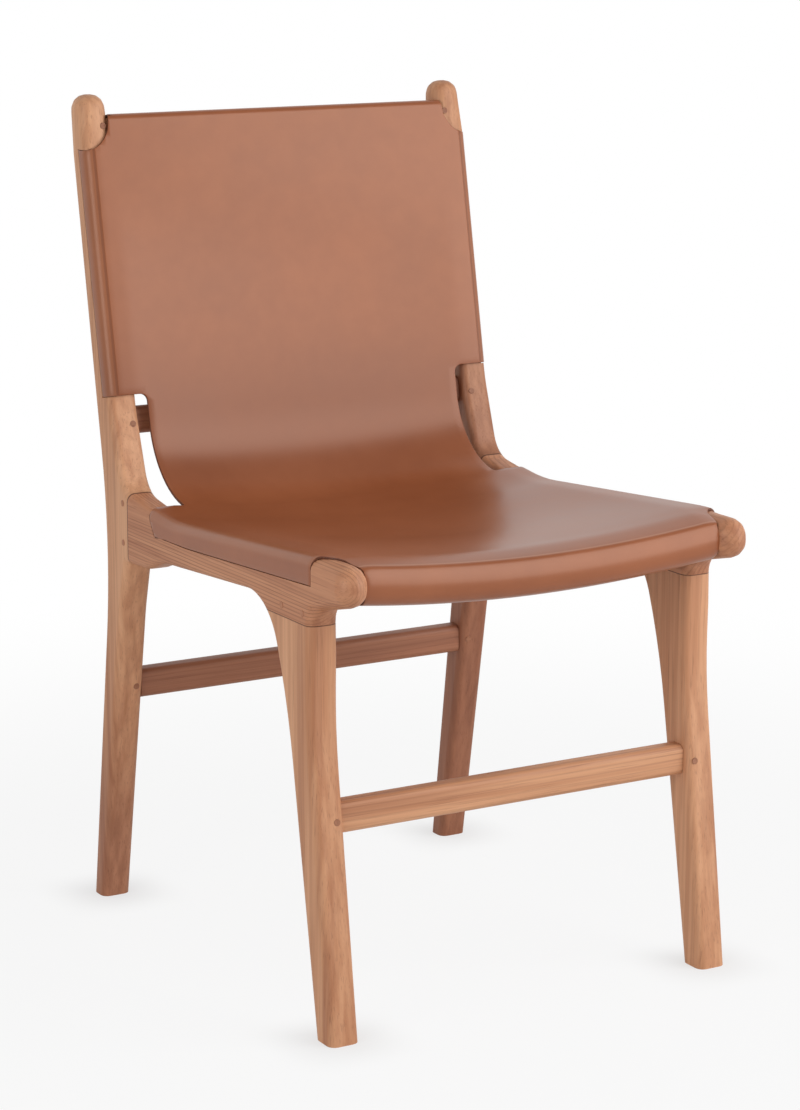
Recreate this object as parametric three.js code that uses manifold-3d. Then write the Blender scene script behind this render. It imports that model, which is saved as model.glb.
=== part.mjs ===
// A dining chair: a pegged teak frame that carries one sheet of saddle leather.
// Millimetres. X is the sitter's width, Y runs from the front to the back, Z is up.
// Side views are drawn as (setback, height): setback is measured back from the front of the noses.
import * as THREE from "three";
import { mergeVertices } from "three/addons/utils/BufferGeometryUtils.js";
import Module from "manifold-3d";

const wasm = await Module();
wasm.setup();

// Overall sizes. The rail runs from the front of its nose to its joint with the post.
const overallWidth = 458;
const railLength = 458;
const overallHeight = 860;
const frameThickness = 32;

// Side frame: the rear post. Heights are a drop below the seat's front or a rise above it,
// and places are behind the joint of post and rail or before it.
const rearFootBehind = 79;
const rearFootDepth = 26.5;
const footRound = 10;
const kneeBehind = 48.7;
const kneeDrop = 71.8;
const kneeRadius = 630;
const headBehind = 97.5;
const headDepth = 34;
const headRadius = 16;
const backBendBehind = 36.65;
const backBendRise = 73.5;
const backBendRadius = 150;
const crotchBehind = 9.5;
const crotchDrop = 8.2;
const crotchRadius = 34;
const underCrotchBehind = 6;
const underCrotchDrop = 82;
const underCrotchRadius = 2.5;
const rearShinBehind = 20.5;
const rearShinDrop = 136.5;
const rearShinRadius = 200;

// Side frame: the side rail and its nose
const seatHeight = 466.5;
const seatDip = 22;
const seatDipBefore = 93;
const seatDipRadius = 250;
const rearRiseBefore = 38;
const rearRiseDrop = 15.5;
const rearRiseRadius = 200;
const noseTopLength = 75;
const noseTopRadius = 300;
const noseRise = 2;
const noseUnderDrop = 34.6;
const noseRadius = 19;
const noseUnderRadius = 17.5;
const neckSetback = 64;
const neckDrop = 50;
const neckRadius = 18;
const archSetback = 151.5;
const archDrop = 51.5;
const archRadius = 62;
const flareStartBefore = 78;
const flareStartDrop = 66;
const flareStartRadius = 80;
const flareEndBefore = 40;
const flareEndDrop = 79.7;
const flareEndRadius = 40;

// Side frame: the front leg
const frontFootSetback = 26.5;
const frontFootDepth = 32.5;
const shinSetback = 66.9;
const shinDrop = 166.5;
const shinRadius = 500;
const calfSetback = 114.4;
const calfDrop = 149;
const calfRadius = 590;

// Rounding of the frame's long edges, fuller round the noses and the heads
const edgeRound = 8;
const noseRound = 15.6;
const noseRoundStart = 85;
const noseRoundEnd = 22;
const noseRoundDrop = 68;
const headRound = 13.5;
const headRoundStartDrop = 44;
const headRoundEndDrop = 14;

// Joints
const legJointDrop = 64.5;
const jointGap = 0.3;
const tenonThickness = 12;
const tenonLength = 24;
const railTenonLength = 34;
const railTenonDrop = 67.5;
const railTenonHeight = 54;
const legTenonSetback = 68;
const legTenonDepth = 62;
const legTenonHeight = 24;
const pegRadius = 3.3;
const pegLength = 27;
const pegProud = 0.3;
const pegInset = 8.5;
const legPegInset = 10.5;

// Crosspieces
const topRailHeight = 54;
const topRailThickness = 20;
const topRailDrop = 22.5;
const topRailRound = 7;
const topRailTenonHeight = 52;
const topRailPegRise = 19.5;
const backRailHeight = 29;
const backRailThickness = 20;
const backRailRise = 59.3;
const backRailInset = 12;
const stretcherHeight = 31;
const stretcherThickness = 22;
const stretcherRound = 6;
const frontStretcherCentre = 212;
const frontStretcherInset = 8.5;
const rearStretcherCentre = 243;
const rearStretcherInset = 6.5;
const frontRailDrop = 4;
const frontRailHeight = 32.5;
const frontRailDepth = 34;
const frontRailSetback = 21;
const frontRailTopRound = 5;
const frontRailRound = 14.5;
const frontRailDip = 12;
const crossTenonHeight = 18;
const crossTenonThickness = 10;

// Leather sling
const leatherThickness = 3;
const leatherGap = 0.3;
const rabbetGap = 0.7;
const hemRise = 88.5;
const scallopDrop = 20;
const scallopRise = 36;
const scallopReach = 27;
const backFlapReach = 15.5;
const waistInset = 10.5;
const waistRadius = 96;
const seatRearBefore = 48;
const seatFlapSkew = 15;
const seatFlapRearDrop = 21;
const seatFlapMiddleDrop = 20;
const seatFlapMiddleBefore = 138;
const seatFlapFrontDrop = 25;
const seatEdgeSetback = 45;
const seatEdgeRadius = 60;
const noseCutSetback = 30;
const noseCutCentre = 10;
const noseCutDepth = 52;
const noseCutReach = 30;
const rearHemLength = 34;
const underHemLength = 14;
const seatFrontSag = 15;
const seatSag = 21;
const waistSag = 13;
const backSag = 7;

// Drawing steps
const woodTolerance = 0.12;
const woodStep = 45;
const slingTolerance = 0.28;
const slingStep = 90;
const overrun = 30;
const edgeRoundSteps = 4;
const pegSides = 16;
const cutterSides = 48;

const outerFace = overallWidth / 2;
const innerFace = outerFace - frameThickness;
const waistHalfWidth = innerFace - waistInset;
const legJointHeight = seatHeight - legJointDrop;
const railTenonBottom = seatHeight - railTenonDrop;
const backRailCentre = seatHeight + backRailRise;
const hemHeight = seatHeight + hemRise;
const scallopHeight = overallHeight - scallopDrop;
const middleFace = (outerFace + innerFace) / 2;
const rearwards = new THREE.Vector2(1, 0);
const upwards = new THREE.Vector2(0, 1);

// A corner of an outline: a point and the radius that rounds it.
function corner(point, radius = 0) {
  return { point, radius };
}

// A point in side view: back from the noses, a drop below the top of the seat's front.
function belowSeat(setback, drop) {
  return new THREE.Vector2(setback, seatHeight - drop);
}

// A point in side view: behind the joint of post and rail, a drop below the top of the seat's front.
function belowSeatAtJoint(behind, drop) {
  return belowSeat(railLength + behind, drop);
}

// The point on the line from a through b that lies past b by the given distance.
function past(a, b, distance) {
  return b.clone().addScaledVector(b.clone().sub(a).normalize(), distance);
}

// The point of the line from a to b at one height.
function atHeight(a, b, height) {
  return a.clone().lerp(b, (height - a.y) / (b.y - a.y));
}

// The directions into and out of each corner, its turn, and the length that its arc takes on each side.
function measuredCorners(corners, closed) {
  const last = corners.length - 1;
  return corners.map(({ point, radius }, index) => {
    const isEnd = !closed && (index === 0 || index === last);
    const before = corners[(index + last) % corners.length].point;
    const after = corners[(index + 1) % corners.length].point;
    const arriving = point.clone().sub(before).normalize();
    const leaving = after.clone().sub(point).normalize();
    const turn = isEnd ? 0 : Math.atan2(arriving.cross(leaving), arriving.dot(leaving));
    return { point, radius, arriving, leaving, turn, tangent: radius * Math.tan(Math.abs(turn) / 2) };
  });
}

// The share of a corner's radius that the straights beside it have room for.
function roomShare(corner, neighbour) {
  const wanted = corner.tangent + neighbour.tangent;
  return wanted > 0 ? Math.min(1, corner.point.distanceTo(neighbour.point) / wanted) : 1;
}

// Rounds the corners of an outline with arcs and splits its long straight stretches.
// Each returned point keeps the index of the corner that it belongs to, in the order drawn.
function roundedPath(corners, closed, tolerance = woodTolerance, longest = woodStep) {
  const measured = measuredCorners(corners, closed);
  const path = [];
  measured.forEach((at, index) => {
    const before = measured[(index + measured.length - 1) % measured.length];
    const after = measured[(index + 1) % measured.length];
    const share = Math.min(roomShare(at, before), roomShare(at, after));
    const radius = at.radius * share;
    const start = at.point.clone().addScaledVector(at.arriving, -at.tangent * share);
    const across = new THREE.Vector2(-at.arriving.y, at.arriving.x);
    const centre = start.clone().addScaledVector(across, Math.sign(at.turn) * radius);
    const steps = radius > 0 ? Math.ceil(Math.abs(at.turn) / (2 * Math.acos(1 - tolerance / radius))) : 0;
    path.push({ point: start, corner: index });
    for (let step = 1; step <= steps; step++) {
      const point = start.clone().rotateAround(centre, (at.turn * step) / steps);
      path.push({ point, corner: index });
    }
  });
  return splitLongStretches(path, closed, longest);
}

function splitLongStretches(path, closed, longest) {
  const split = [];
  path.forEach((from, index) => {
    split.push(from);
    if (!closed && index === path.length - 1) return;
    const to = path[(index + 1) % path.length];
    const pieces = Math.ceil(from.point.distanceTo(to.point) / longest);
    for (let piece = 1; piece < pieces; piece++) {
      split.push({ point: from.point.clone().lerp(to.point, piece / pieces), corner: from.corner });
    }
  });
  return split;
}

// Closed surfaces and solids

// Joins rings of points into a closed surface, with a flat cap on the first and the last ring.
function loft(rings, capOutline) {
  const count = rings[0].length;
  const positions = rings.flat().flatMap((p) => [p.x, p.y, p.z]);
  const faces = [];
  for (let ring = 0; ring < rings.length - 1; ring++) {
    for (let i = 0; i < count; i++) {
      const next = (i + 1) % count;
      const a = ring * count + i;
      const b = ring * count + next;
      faces.push(a, b, b + count, a, b + count, a + count);
    }
  }
  const lastRing = (rings.length - 1) * count;
  for (const [a, b, c] of THREE.ShapeUtils.triangulateShape(capOutline, [])) {
    faces.push(a, c, b);
    faces.push(lastRing + a, lastRing + b, lastRing + c);
  }
  const geometry = new THREE.BufferGeometry();
  geometry.setAttribute("position", new THREE.Float32BufferAttribute(positions, 3));
  geometry.setIndex(faces);
  return facingOut(geometry);
}

function enclosedVolume(geometry) {
  const p = geometry.getAttribute("position");
  const index = geometry.index.array;
  const [a, b, c] = [new THREE.Vector3(), new THREE.Vector3(), new THREE.Vector3()];
  let volume = 0;
  for (let i = 0; i < index.length; i += 3) {
    a.fromBufferAttribute(p, index[i]);
    b.fromBufferAttribute(p, index[i + 1]);
    c.fromBufferAttribute(p, index[i + 2]);
    volume += a.dot(b.cross(c)) / 6;
  }
  return volume;
}

// Turns every face of a closed surface round when the surface is inside out.
function facingOut(geometry) {
  if (enclosedVolume(geometry) >= 0) return geometry;
  const index = geometry.index.array;
  for (let i = 0; i < index.length; i += 3) {
    [index[i + 1], index[i + 2]] = [index[i + 2], index[i + 1]];
  }
  return geometry;
}

function solid(geometry) {
  const bare = geometry.clone();
  bare.deleteAttribute("normal");
  bare.deleteAttribute("uv");
  const merged = mergeVertices(bare);
  return new wasm.Manifold(
    new wasm.Mesh({
      numProp: 3,
      vertProperties: new Float32Array(merged.getAttribute("position").array),
      triVerts: new Uint32Array(merged.index.array),
    }),
  );
}

function geometryOf(body) {
  const mesh = body.getMesh();
  const geometry = new THREE.BufferGeometry();
  geometry.setAttribute("position", new THREE.BufferAttribute(mesh.vertProperties, 3));
  geometry.setIndex(new THREE.BufferAttribute(mesh.triVerts, 1));
  return geometry;
}

function mirrored(geometry) {
  return facingOut(geometry.clone().scale(-1, 1, 1));
}

function boxBetween(low, high) {
  const size = high.clone().sub(low);
  const centre = low.clone().add(high).divideScalar(2);
  const box = new THREE.BoxGeometry(size.x, size.y, size.z);
  return box.translate(centre.x, centre.y, centre.z);
}

function blockBetween(x0, x1, setback0, setback1, height0, height1, spare = 0) {
  const low = new THREE.Vector3(x0 - spare, setback0 - spare, height0 - spare);
  const high = new THREE.Vector3(x1 + spare, setback1 + spare, height1 + spare);
  return solid(boxBetween(low, high));
}

// A flat outline in side view, given thickness from one X to another.
function slab(outline, x0, x1) {
  const ring = (x) => outline.map((p) => new THREE.Vector3(x, p.x, p.y));
  return solid(loft([ring(x0), ring(x1)], outline));
}

// The side frame: post, rail and leg in one outline

const rearFootFront = new THREE.Vector2(railLength + rearFootBehind, 0);
const rearFootRear = new THREE.Vector2(rearFootFront.x + rearFootDepth, 0);
const frontFootFront = new THREE.Vector2(frontFootSetback, 0);
const frontFootRear = new THREE.Vector2(frontFootSetback + frontFootDepth, 0);
const knee = belowSeatAtJoint(kneeBehind, kneeDrop);
const rearShin = belowSeatAtJoint(rearShinBehind, rearShinDrop);
const shin = belowSeat(shinSetback, shinDrop);
const calf = belowSeat(calfSetback, calfDrop);
const backBend = belowSeatAtJoint(backBendBehind, -backBendRise);
const headFront = new THREE.Vector2(railLength + headBehind, overallHeight);
const headRear = new THREE.Vector2(headFront.x + headDepth, overallHeight);
const crotch = belowSeatAtJoint(crotchBehind, crotchDrop);
const rearRise = belowSeatAtJoint(-rearRiseBefore, rearRiseDrop);
const seatDipPoint = belowSeatAtJoint(-seatDipBefore, seatDip);
const noseTopPoint = belowSeat(noseTopLength, 0);
const noseTip = belowSeat(0, -noseRise);

// The feet are drawn past the floor, and the floor then trims them flat.
function footCorner(from, foot) {
  return corner(past(from, foot, overrun), footRound);
}

const sideOutline = roundedPath(
  [
    footCorner(knee, rearFootRear),
    corner(knee, kneeRadius),
    corner(headRear, headRadius),
    corner(headFront, headRadius),
    corner(backBend, backBendRadius),
    corner(crotch, crotchRadius),
    corner(rearRise, rearRiseRadius),
    corner(seatDipPoint, seatDipRadius),
    corner(noseTopPoint, noseTopRadius),
    corner(noseTip, noseRadius),
    corner(belowSeat(0, noseUnderDrop), noseUnderRadius),
    corner(belowSeat(neckSetback, neckDrop), neckRadius),
    corner(shin, shinRadius),
    footCorner(shin, frontFootFront),
    footCorner(calf, frontFootRear),
    corner(calf, calfRadius),
    corner(belowSeat(archSetback, archDrop), archRadius),
    corner(belowSeatAtJoint(-flareStartBefore, flareStartDrop), flareStartRadius),
    corner(belowSeatAtJoint(-flareEndBefore, flareEndDrop), flareEndRadius),
    corner(belowSeatAtJoint(underCrotchBehind, underCrotchDrop), underCrotchRadius),
    corner(rearShin, rearShinRadius),
    footCorner(rearShin, rearFootFront),
  ],
  true,
).map(({ point }) => point);

// How far each point of a closed outline moves to follow the outline inwards by one unit.
function inwardSteps(outline) {
  const turning = Math.sign(THREE.ShapeUtils.area(outline));
  return outline.map((point, i) => {
    const before = outline[(i + outline.length - 1) % outline.length];
    const after = outline[(i + 1) % outline.length];
    const arriving = point.clone().sub(before).normalize();
    const leaving = after.clone().sub(point).normalize();
    const a = new THREE.Vector2(-arriving.y, arriving.x).multiplyScalar(turning);
    const b = new THREE.Vector2(-leaving.y, leaving.x).multiplyScalar(turning);
    return a.clone().add(b).divideScalar(1 + a.dot(b));
  });
}

// The radius that rounds the frame's long edges at a point of its outline.
function edgeRoundAt(point) {
  const towardsNose = THREE.MathUtils.smoothstep(-point.x, -noseRoundStart, -noseRoundEnd);
  const noseShare = point.y > seatHeight - noseRoundDrop ? towardsNose : 0;
  const belowHead = overallHeight - point.y;
  const headShare = THREE.MathUtils.smoothstep(-belowHead, -headRoundStartDrop, -headRoundEndDrop);
  const plain = THREE.MathUtils.lerp(edgeRound, noseRound, noseShare);
  return THREE.MathUtils.lerp(plain, headRound, headShare);
}

// A plate with the given outline between two X faces, its edges rounded all the way round.
function roundedPlate(outline, xInner, xOuter) {
  const steps = inwardSteps(outline);
  const most = (xOuter - xInner) / 2 - jointGap;
  const radii = outline.map((point) => Math.min(edgeRoundAt(point), most));
  const ring = (faceX, towardsMiddle, angle) =>
    outline.map((point, i) => {
      const inset = radii[i] * (1 - Math.cos(angle));
      const x = faceX + towardsMiddle * radii[i] * (1 - Math.sin(angle));
      const moved = point.clone().addScaledVector(steps[i], inset);
      return new THREE.Vector3(x, moved.x, moved.y);
    });
  const rings = [];
  for (let step = edgeRoundSteps; step >= 0; step--) {
    rings.push(ring(xInner, 1, (Math.PI / 2) * (step / edgeRoundSteps)));
  }
  for (let step = 0; step <= edgeRoundSteps; step++) {
    rings.push(ring(xOuter, -1, (Math.PI / 2) * (step / edgeRoundSteps)));
  }
  const cap = rings[0].map((p) => new THREE.Vector2(p.y, p.z));
  return solid(loft(rings, cap));
}

// Where the outline crosses one height: the crossings in order from the front.
function crossingsAt(height) {
  const found = [];
  sideOutline.forEach((a, i) => {
    const b = sideOutline[(i + 1) % sideOutline.length];
    if (a.y > height === b.y > height) return;
    const lean = Math.abs(Math.atan2(b.x - a.x, b.y - a.y));
    const angle = Math.min(lean, Math.PI - lean);
    const sense = Math.sign((b.x - a.x) * (b.y - a.y));
    found.push({ setback: atHeight(a, b, height).x, lean: angle * sense });
  });
  return found.sort((a, b) => a.setback - b.setback);
}

const frontOfLeg = (height) => crossingsAt(height)[0];
const frontOfPost = (height) => crossingsAt(height).at(-2);

// Rabbets: where a flap of leather lies, the wood's outer face is set in by the leather

const rabbetFace = outerFace - leatherThickness - leatherGap;
const backPlaneAt = (height) => atHeight(backBend, headFront, height);
const backLean = Math.atan2(headFront.x - backBend.x, headFront.y - backBend.y);
const upTheBack = new THREE.Vector2(Math.sin(backLean), Math.cos(backLean));
const intoBack = new THREE.Vector2(Math.cos(backLean), -Math.sin(backLean));
const seatFlapFrontSetback = noseCutCentre + noseCutDepth;
const seatRearSetback = railLength - seatRearBefore;
const seatFlapRearSetback = seatRearSetback - seatFlapSkew;

// The height at one setback of the straight line through two points.
function heightOnLine(a, b, setback) {
  return THREE.MathUtils.mapLinear(setback, a.x, b.x, a.y, b.y);
}

// The top of the side rail, as straight stretches, and the flap's free edge below it
const railTopAt = (setback) => {
  if (setback > rearRise.x) return heightOnLine(rearRise, crotch, setback);
  if (setback > seatDipPoint.x) return heightOnLine(seatDipPoint, rearRise, setback);
  if (setback > noseTopLength) return heightOnLine(noseTopPoint, seatDipPoint, setback);
  return heightOnLine(noseTip, noseTopPoint, setback);
};
const flapEdge = [
  [noseCutSetback, seatFlapFrontDrop],
  [seatFlapFrontSetback, seatFlapFrontDrop],
  [railLength - seatFlapMiddleBefore, seatFlapMiddleDrop],
  [seatFlapRearSetback, seatFlapRearDrop],
].map(([setback, drop]) => new THREE.Vector2(setback, railTopAt(setback) - drop));
function flapEdgeAt(setback) {
  const next = flapEdge.findIndex((p) => p.x > setback);
  const end = next < 0 ? flapEdge.length - 1 : Math.max(next, 1);
  return heightOnLine(flapEdge[end - 1], flapEdge[end], setback);
}

// A long cutter with an elliptical section, standing along Y or Z.
function ellipticCutter(centre, reachX, reachAcross, alongY) {
  const length = overallHeight / 2;
  const cutter = new THREE.CylinderGeometry(1, 1, 1, cutterSides).scale(reachX, length, reachAcross);
  if (!alongY) cutter.rotateX(Math.PI / 2);
  return solid(cutter.translate(centre.x, centre.y, centre.z));
}
const scallopCutter = (spare) =>
  ellipticCutter(
    new THREE.Vector3(outerFace, headFront.x, scallopHeight),
    scallopReach - spare, scallopRise - spare, true,
  );
const noseCutter = (spare) =>
  ellipticCutter(
    new THREE.Vector3(outerFace, noseCutCentre, seatHeight),
    noseCutReach - spare, noseCutDepth - spare, false,
  );

function postRabbet() {
  const reach = backFlapReach + rabbetGap;
  const [bottom, top] = [backPlaneAt(hemHeight), backPlaneAt(scallopHeight)];
  const edge = (point, across, along) =>
    point.clone().addScaledVector(intoBack, across).addScaledVector(upTheBack, along);
  const outline = [
    edge(bottom, -overrun, -rabbetGap), edge(bottom, reach, -rabbetGap),
    edge(top, reach, 0), edge(top, -overrun, 0),
  ];
  return slab(outline, middleFace, outerFace + overrun).subtract(scallopCutter(rabbetGap));
}

function railRabbet() {
  const lower = flapEdge.map((p) => p.clone().setY(p.y - rabbetGap));
  lower.at(-1).setX(seatFlapRearSetback + rabbetGap);
  const rearTop = new THREE.Vector2(seatRearSetback + rabbetGap, railTopAt(seatRearSetback));
  const above = seatHeight + overrun;
  const upper = [rearTop, rearTop.clone().setY(above), lower[0].clone().setY(above)];
  return slab([...lower, ...upper], middleFace, outerFace + overrun).subtract(noseCutter(rabbetGap));
}

function makeSideFrame() {
  const full = roundedPlate(sideOutline, innerFace, outerFace);
  const thin = roundedPlate(sideOutline, innerFace, rabbetFace);
  const belowFloor = blockBetween(
    innerFace - overrun, outerFace + overrun, 0, headRear.x, -2 * overrun, 0,
  );
  return full.subtract(postRabbet().add(railRabbet()).subtract(thin)).subtract(belowFloor);
}

// The blocks that part the side frame at its joints
const halfGap = jointGap / 2;
const [frameEnd, frameTop] = [headRear.x + overrun, headRear.y + overrun];
const legEnd = archSetback + overrun;
const frameBlock = (setback0, setback1, height0, height1) =>
  blockBetween(innerFace - overrun, outerFace + overrun, setback0, setback1, height0, height1);
const inFrontOfPost = frameBlock(-overrun, railLength + halfGap, -overrun, frameTop);
const behindRail = frameBlock(railLength - halfGap, frameEnd, -overrun, frameTop);
const aroundLeg = frameBlock(-overrun, legEnd, -overrun, legJointHeight + halfGap);
const aboveLeg = frameBlock(-overrun, frameEnd, legJointHeight - halfGap, frameTop);
const behindLeg = frameBlock(legEnd, frameEnd, -overrun, frameTop);

// Tenons: each is a block of its own, and its mortise is the same block with a gap all round
const railTenon = [
  middleFace - tenonThickness / 2, middleFace + tenonThickness / 2,
  railLength - jointGap, railLength + railTenonLength,
  railTenonBottom, railTenonBottom + railTenonHeight,
];
const legTenon = [
  middleFace - tenonThickness / 2, middleFace + tenonThickness / 2,
  legTenonSetback, legTenonSetback + legTenonDepth,
  legJointHeight - jointGap, legJointHeight + legTenonHeight,
];

// Crosspieces: each runs across the chair between the side frames, with a tenon at each end

// A rounded rectangle in side view, centred on zero: depth along the setback, then height.
// The two front corners can have roundings of their own.
function roundedSection(depth, height, round, frontTopRound = round, frontBottomRound = round) {
  const at = (towardsRear, up, radius) =>
    corner(new THREE.Vector2((towardsRear * depth) / 2, (up * height) / 2), radius);
  const corners = [
    at(-1, -1, frontBottomRound), at(1, -1, round), at(1, 1, round), at(-1, 1, frontTopRound),
  ];
  return roundedPath(corners, true).map(({ point }) => point);
}

// Stations across half the chair: the leather and the front rail bend at the same ones.
const stationShares = [0, 0.36, 0.7, 1];
const acrossStations = [
  ...stationShares.slice(1).map((share) => -share * waistHalfWidth).reverse(),
  ...stationShares.map((share) => share * waistHalfWidth),
];
const hollowShareAt = (x) => Math.max(0, 1 - (x / innerFace) ** 2);

function makeCrosspiece(piece) {
  const { section, centre, lean = 0, dip = 0 } = piece;
  const end = innerFace - jointGap;
  const stations = [-end, ...acrossStations, end];
  const rings = stations.map((x) =>
    section.map((p) => {
      const turned = p.clone().rotateAround(new THREE.Vector2(), -lean);
      const height = centre.y + turned.y - dip * hollowShareAt(x);
      return new THREE.Vector3(x, centre.x + turned.x, height);
    }),
  );
  return solid(loft(rings, section)).add(crossTenons(piece, 0));
}

// The two tenons at the ends of a crosspiece, with spare all round them.
function crossTenons({ centre, lean = 0, tenonHeight = crossTenonHeight }, spare) {
  const near = innerFace - jointGap - jointGap;
  const reach = innerFace + tenonLength + spare;
  const halfThickness = crossTenonThickness / 2 + spare;
  const halfHeight = tenonHeight / 2 + spare;
  const tenon = boxBetween(
    new THREE.Vector3(near, -halfThickness, -halfHeight),
    new THREE.Vector3(reach, halfThickness, halfHeight),
  );
  return bothSides(solid(tenon.rotateX(-lean).translate(0, centre.x, centre.y)));
}

// The centre of a crosspiece set in from the front of the wood that it joins.
function insetCentre(face, height, inset, thickness) {
  return new THREE.Vector2(face(height).setback + inset + thickness / 2, height);
}

const topRailTop = overallHeight - topRailDrop;
const topRailCentre = backPlaneAt(topRailTop)
  .addScaledVector(upTheBack, -topRailHeight / 2)
  .addScaledVector(intoBack, topRailThickness / 2);

const topRail = {
  section: roundedSection(topRailThickness, topRailHeight, topRailRound),
  centre: topRailCentre,
  lean: backLean,
  tenonHeight: topRailTenonHeight,
};
const backRail = {
  section: roundedSection(backRailThickness, backRailHeight, stretcherRound),
  centre: insetCentre(frontOfPost, backRailCentre, backRailInset, backRailThickness),
  lean: backLean,
};
const stretcherSection = roundedSection(stretcherThickness, stretcherHeight, stretcherRound);
const frontStretcher = {
  section: stretcherSection,
  centre: insetCentre(frontOfLeg, frontStretcherCentre, frontStretcherInset, stretcherThickness),
};
const rearStretcher = {
  section: stretcherSection,
  centre: insetCentre(frontOfPost, rearStretcherCentre, rearStretcherInset, stretcherThickness),
};
const frontRailTop = seatHeight - frontRailDrop;
const frontRail = {
  section: roundedSection(
    frontRailDepth, frontRailHeight, stretcherRound, frontRailTopRound, frontRailRound,
  ),
  centre: new THREE.Vector2(frontRailSetback + frontRailDepth / 2, frontRailTop - frontRailHeight / 2),
  dip: frontRailDip,
};

// Pegs

// A round peg that starts at a point and runs along a direction, with spare all round it.
function makePeg(start, direction, spare = 0) {
  const length = pegLength + pegProud + spare;
  const peg = new THREE.CylinderGeometry(pegRadius + spare, pegRadius + spare, length, pegSides);
  peg.translate(0, length / 2 - pegProud, 0);
  peg.applyQuaternion(new THREE.Quaternion().setFromUnitVectors(new THREE.Vector3(0, 1, 0), direction));
  return peg.translate(start.x, start.y, start.z);
}

// A peg driven square into the front of a leg or post, through the tenon behind it.
function frontPeg(face, height) {
  const { setback, lean } = face(height);
  const start = new THREE.Vector3(innerFace + pegInset, setback, height);
  return { start, direction: new THREE.Vector3(0, Math.cos(lean), -Math.sin(lean)) };
}

// A peg driven into the outer face of the frame.
function sidePeg(setback, height) {
  return { start: new THREE.Vector3(outerFace, setback, height), direction: new THREE.Vector3(-1, 0, 0) };
}

const upperPegShare = 0.9;
const lowerPegShare = 0.13;
const pegAcrossJoint = railLength + railTenonLength / 3;
const railTenonAt = (share) => railTenonBottom + share * railTenonHeight;
const legPegHeight = legJointHeight + legTenonHeight / 2 - pegRadius / 2;

const postPegs = {
  top_rail_peg: frontPeg(frontOfPost, topRailCentre.y + topRailPegRise),
  lower_back_rail_peg: frontPeg(frontOfPost, backRailCentre),
  rear_stretcher_peg: frontPeg(frontOfPost, rearStretcherCentre),
  side_rail_upper_peg: sidePeg(pegAcrossJoint, railTenonAt(upperPegShare)),
  side_rail_lower_peg: sidePeg(pegAcrossJoint, railTenonAt(lowerPegShare)),
};
const legPegs = {
  front_stretcher_peg: frontPeg(frontOfLeg, frontStretcherCentre),
};
const railPegs = {
  front_leg_front_peg: sidePeg(legTenonSetback + legPegInset, legPegHeight),
  front_leg_rear_peg: sidePeg(legTenonSetback + legTenonDepth - legPegInset, legPegHeight),
};

function pegHoles(pegs) {
  const holes = Object.values(pegs).map(({ start, direction }) =>
    solid(makePeg(start, direction, halfGap)),
  );
  return holes.reduce((all, hole) => all.add(hole));
}

// The pegs of both sides, for a piece that runs right across.
function bothSides(body) {
  return body.add(solid(mirrored(geometryOf(body))));
}

// The leather sling

// Its line in side view, on the wood's side, from the hem behind the top rail to the hem under the front.
const offBack = (point) => point.clone().addScaledVector(intoBack, -leatherGap);
const offSeat = (setback) => new THREE.Vector2(setback, railTopAt(setback) + leatherGap);
const roundTopRail = (across, down) =>
  topRailCentre
    .clone()
    .addScaledVector(intoBack, across * (topRailThickness / 2 + leatherGap))
    .addScaledVector(upTheBack, topRailHeight / 2 + leatherGap - down);
const rollTop = new THREE.Vector2(frontRailSetback - leatherGap, frontRailTop + leatherGap);
const rollBottom = rollTop.clone().setY(frontRailTop - frontRailHeight - leatherGap);
const hemUnderRail = frontRailSetback + frontRailRound + underHemLength;
const seatEdge = offSeat(seatEdgeSetback);

// Where the straight line of the back and that of the seat's rear would meet, at the waist.
function meeting(a, b, c, d) {
  const [r, s] = [b.clone().sub(a), d.clone().sub(c)];
  return a.clone().addScaledVector(r, c.clone().sub(a).cross(s) / r.cross(s));
}
const waistPoint = meeting(
  offBack(headFront), offBack(backBend), offSeat(seatDipPoint.x), offSeat(seatRearSetback),
);

const slingCorners = {
  rearHem: corner(roundTopRail(1, rearHemLength)),
  rearTop: corner(roundTopRail(1, 0), topRailRound + leatherGap),
  frontTop: corner(roundTopRail(-1, 0), topRailRound + leatherGap),
  shoulder: corner(offBack(backPlaneAt(scallopHeight - topRailRound))),
  topRailBottom: corner(offBack(backPlaneAt(topRailTop - topRailHeight))),
  hem: corner(offBack(backPlaneAt(hemHeight))),
  waist: corner(waistPoint, waistRadius),
  seatRear: corner(offSeat(seatRearSetback)),
  seatDip: corner(offSeat(seatDipPoint.x), seatDipRadius),
  noseTop: corner(offSeat(noseTopLength), noseTopRadius),
  seatEdge: corner(seatEdge, seatEdgeRadius),
  noseCut: corner(new THREE.Vector2(noseCutSetback, heightOnLine(rollTop, seatEdge, noseCutSetback))),
  rollTop: corner(rollTop, frontRailTopRound + leatherGap),
  rollBottom: corner(rollBottom, frontRailRound + leatherGap),
  underHem: corner(rollBottom.clone().setX(hemUnderRail)),
};
const slingOrder = Object.keys(slingCorners);
const slingPath = roundedPath(Object.values(slingCorners), false, slingTolerance, slingStep);
const rank = (name) => slingOrder.indexOf(name);

// Distance along the path to each of its points
const slingLengths = slingPath.map(() => 0);
for (let i = 1; i < slingPath.length; i++) {
  slingLengths[i] = slingLengths[i - 1] + slingPath[i].point.distanceTo(slingPath[i - 1].point);
}
const lengthAt = (name) => slingLengths[slingPath.findIndex((p) => p.corner >= rank(name))];
const midway = (a, b) => (lengthAt(a) + lengthAt(b)) / 2;

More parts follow.
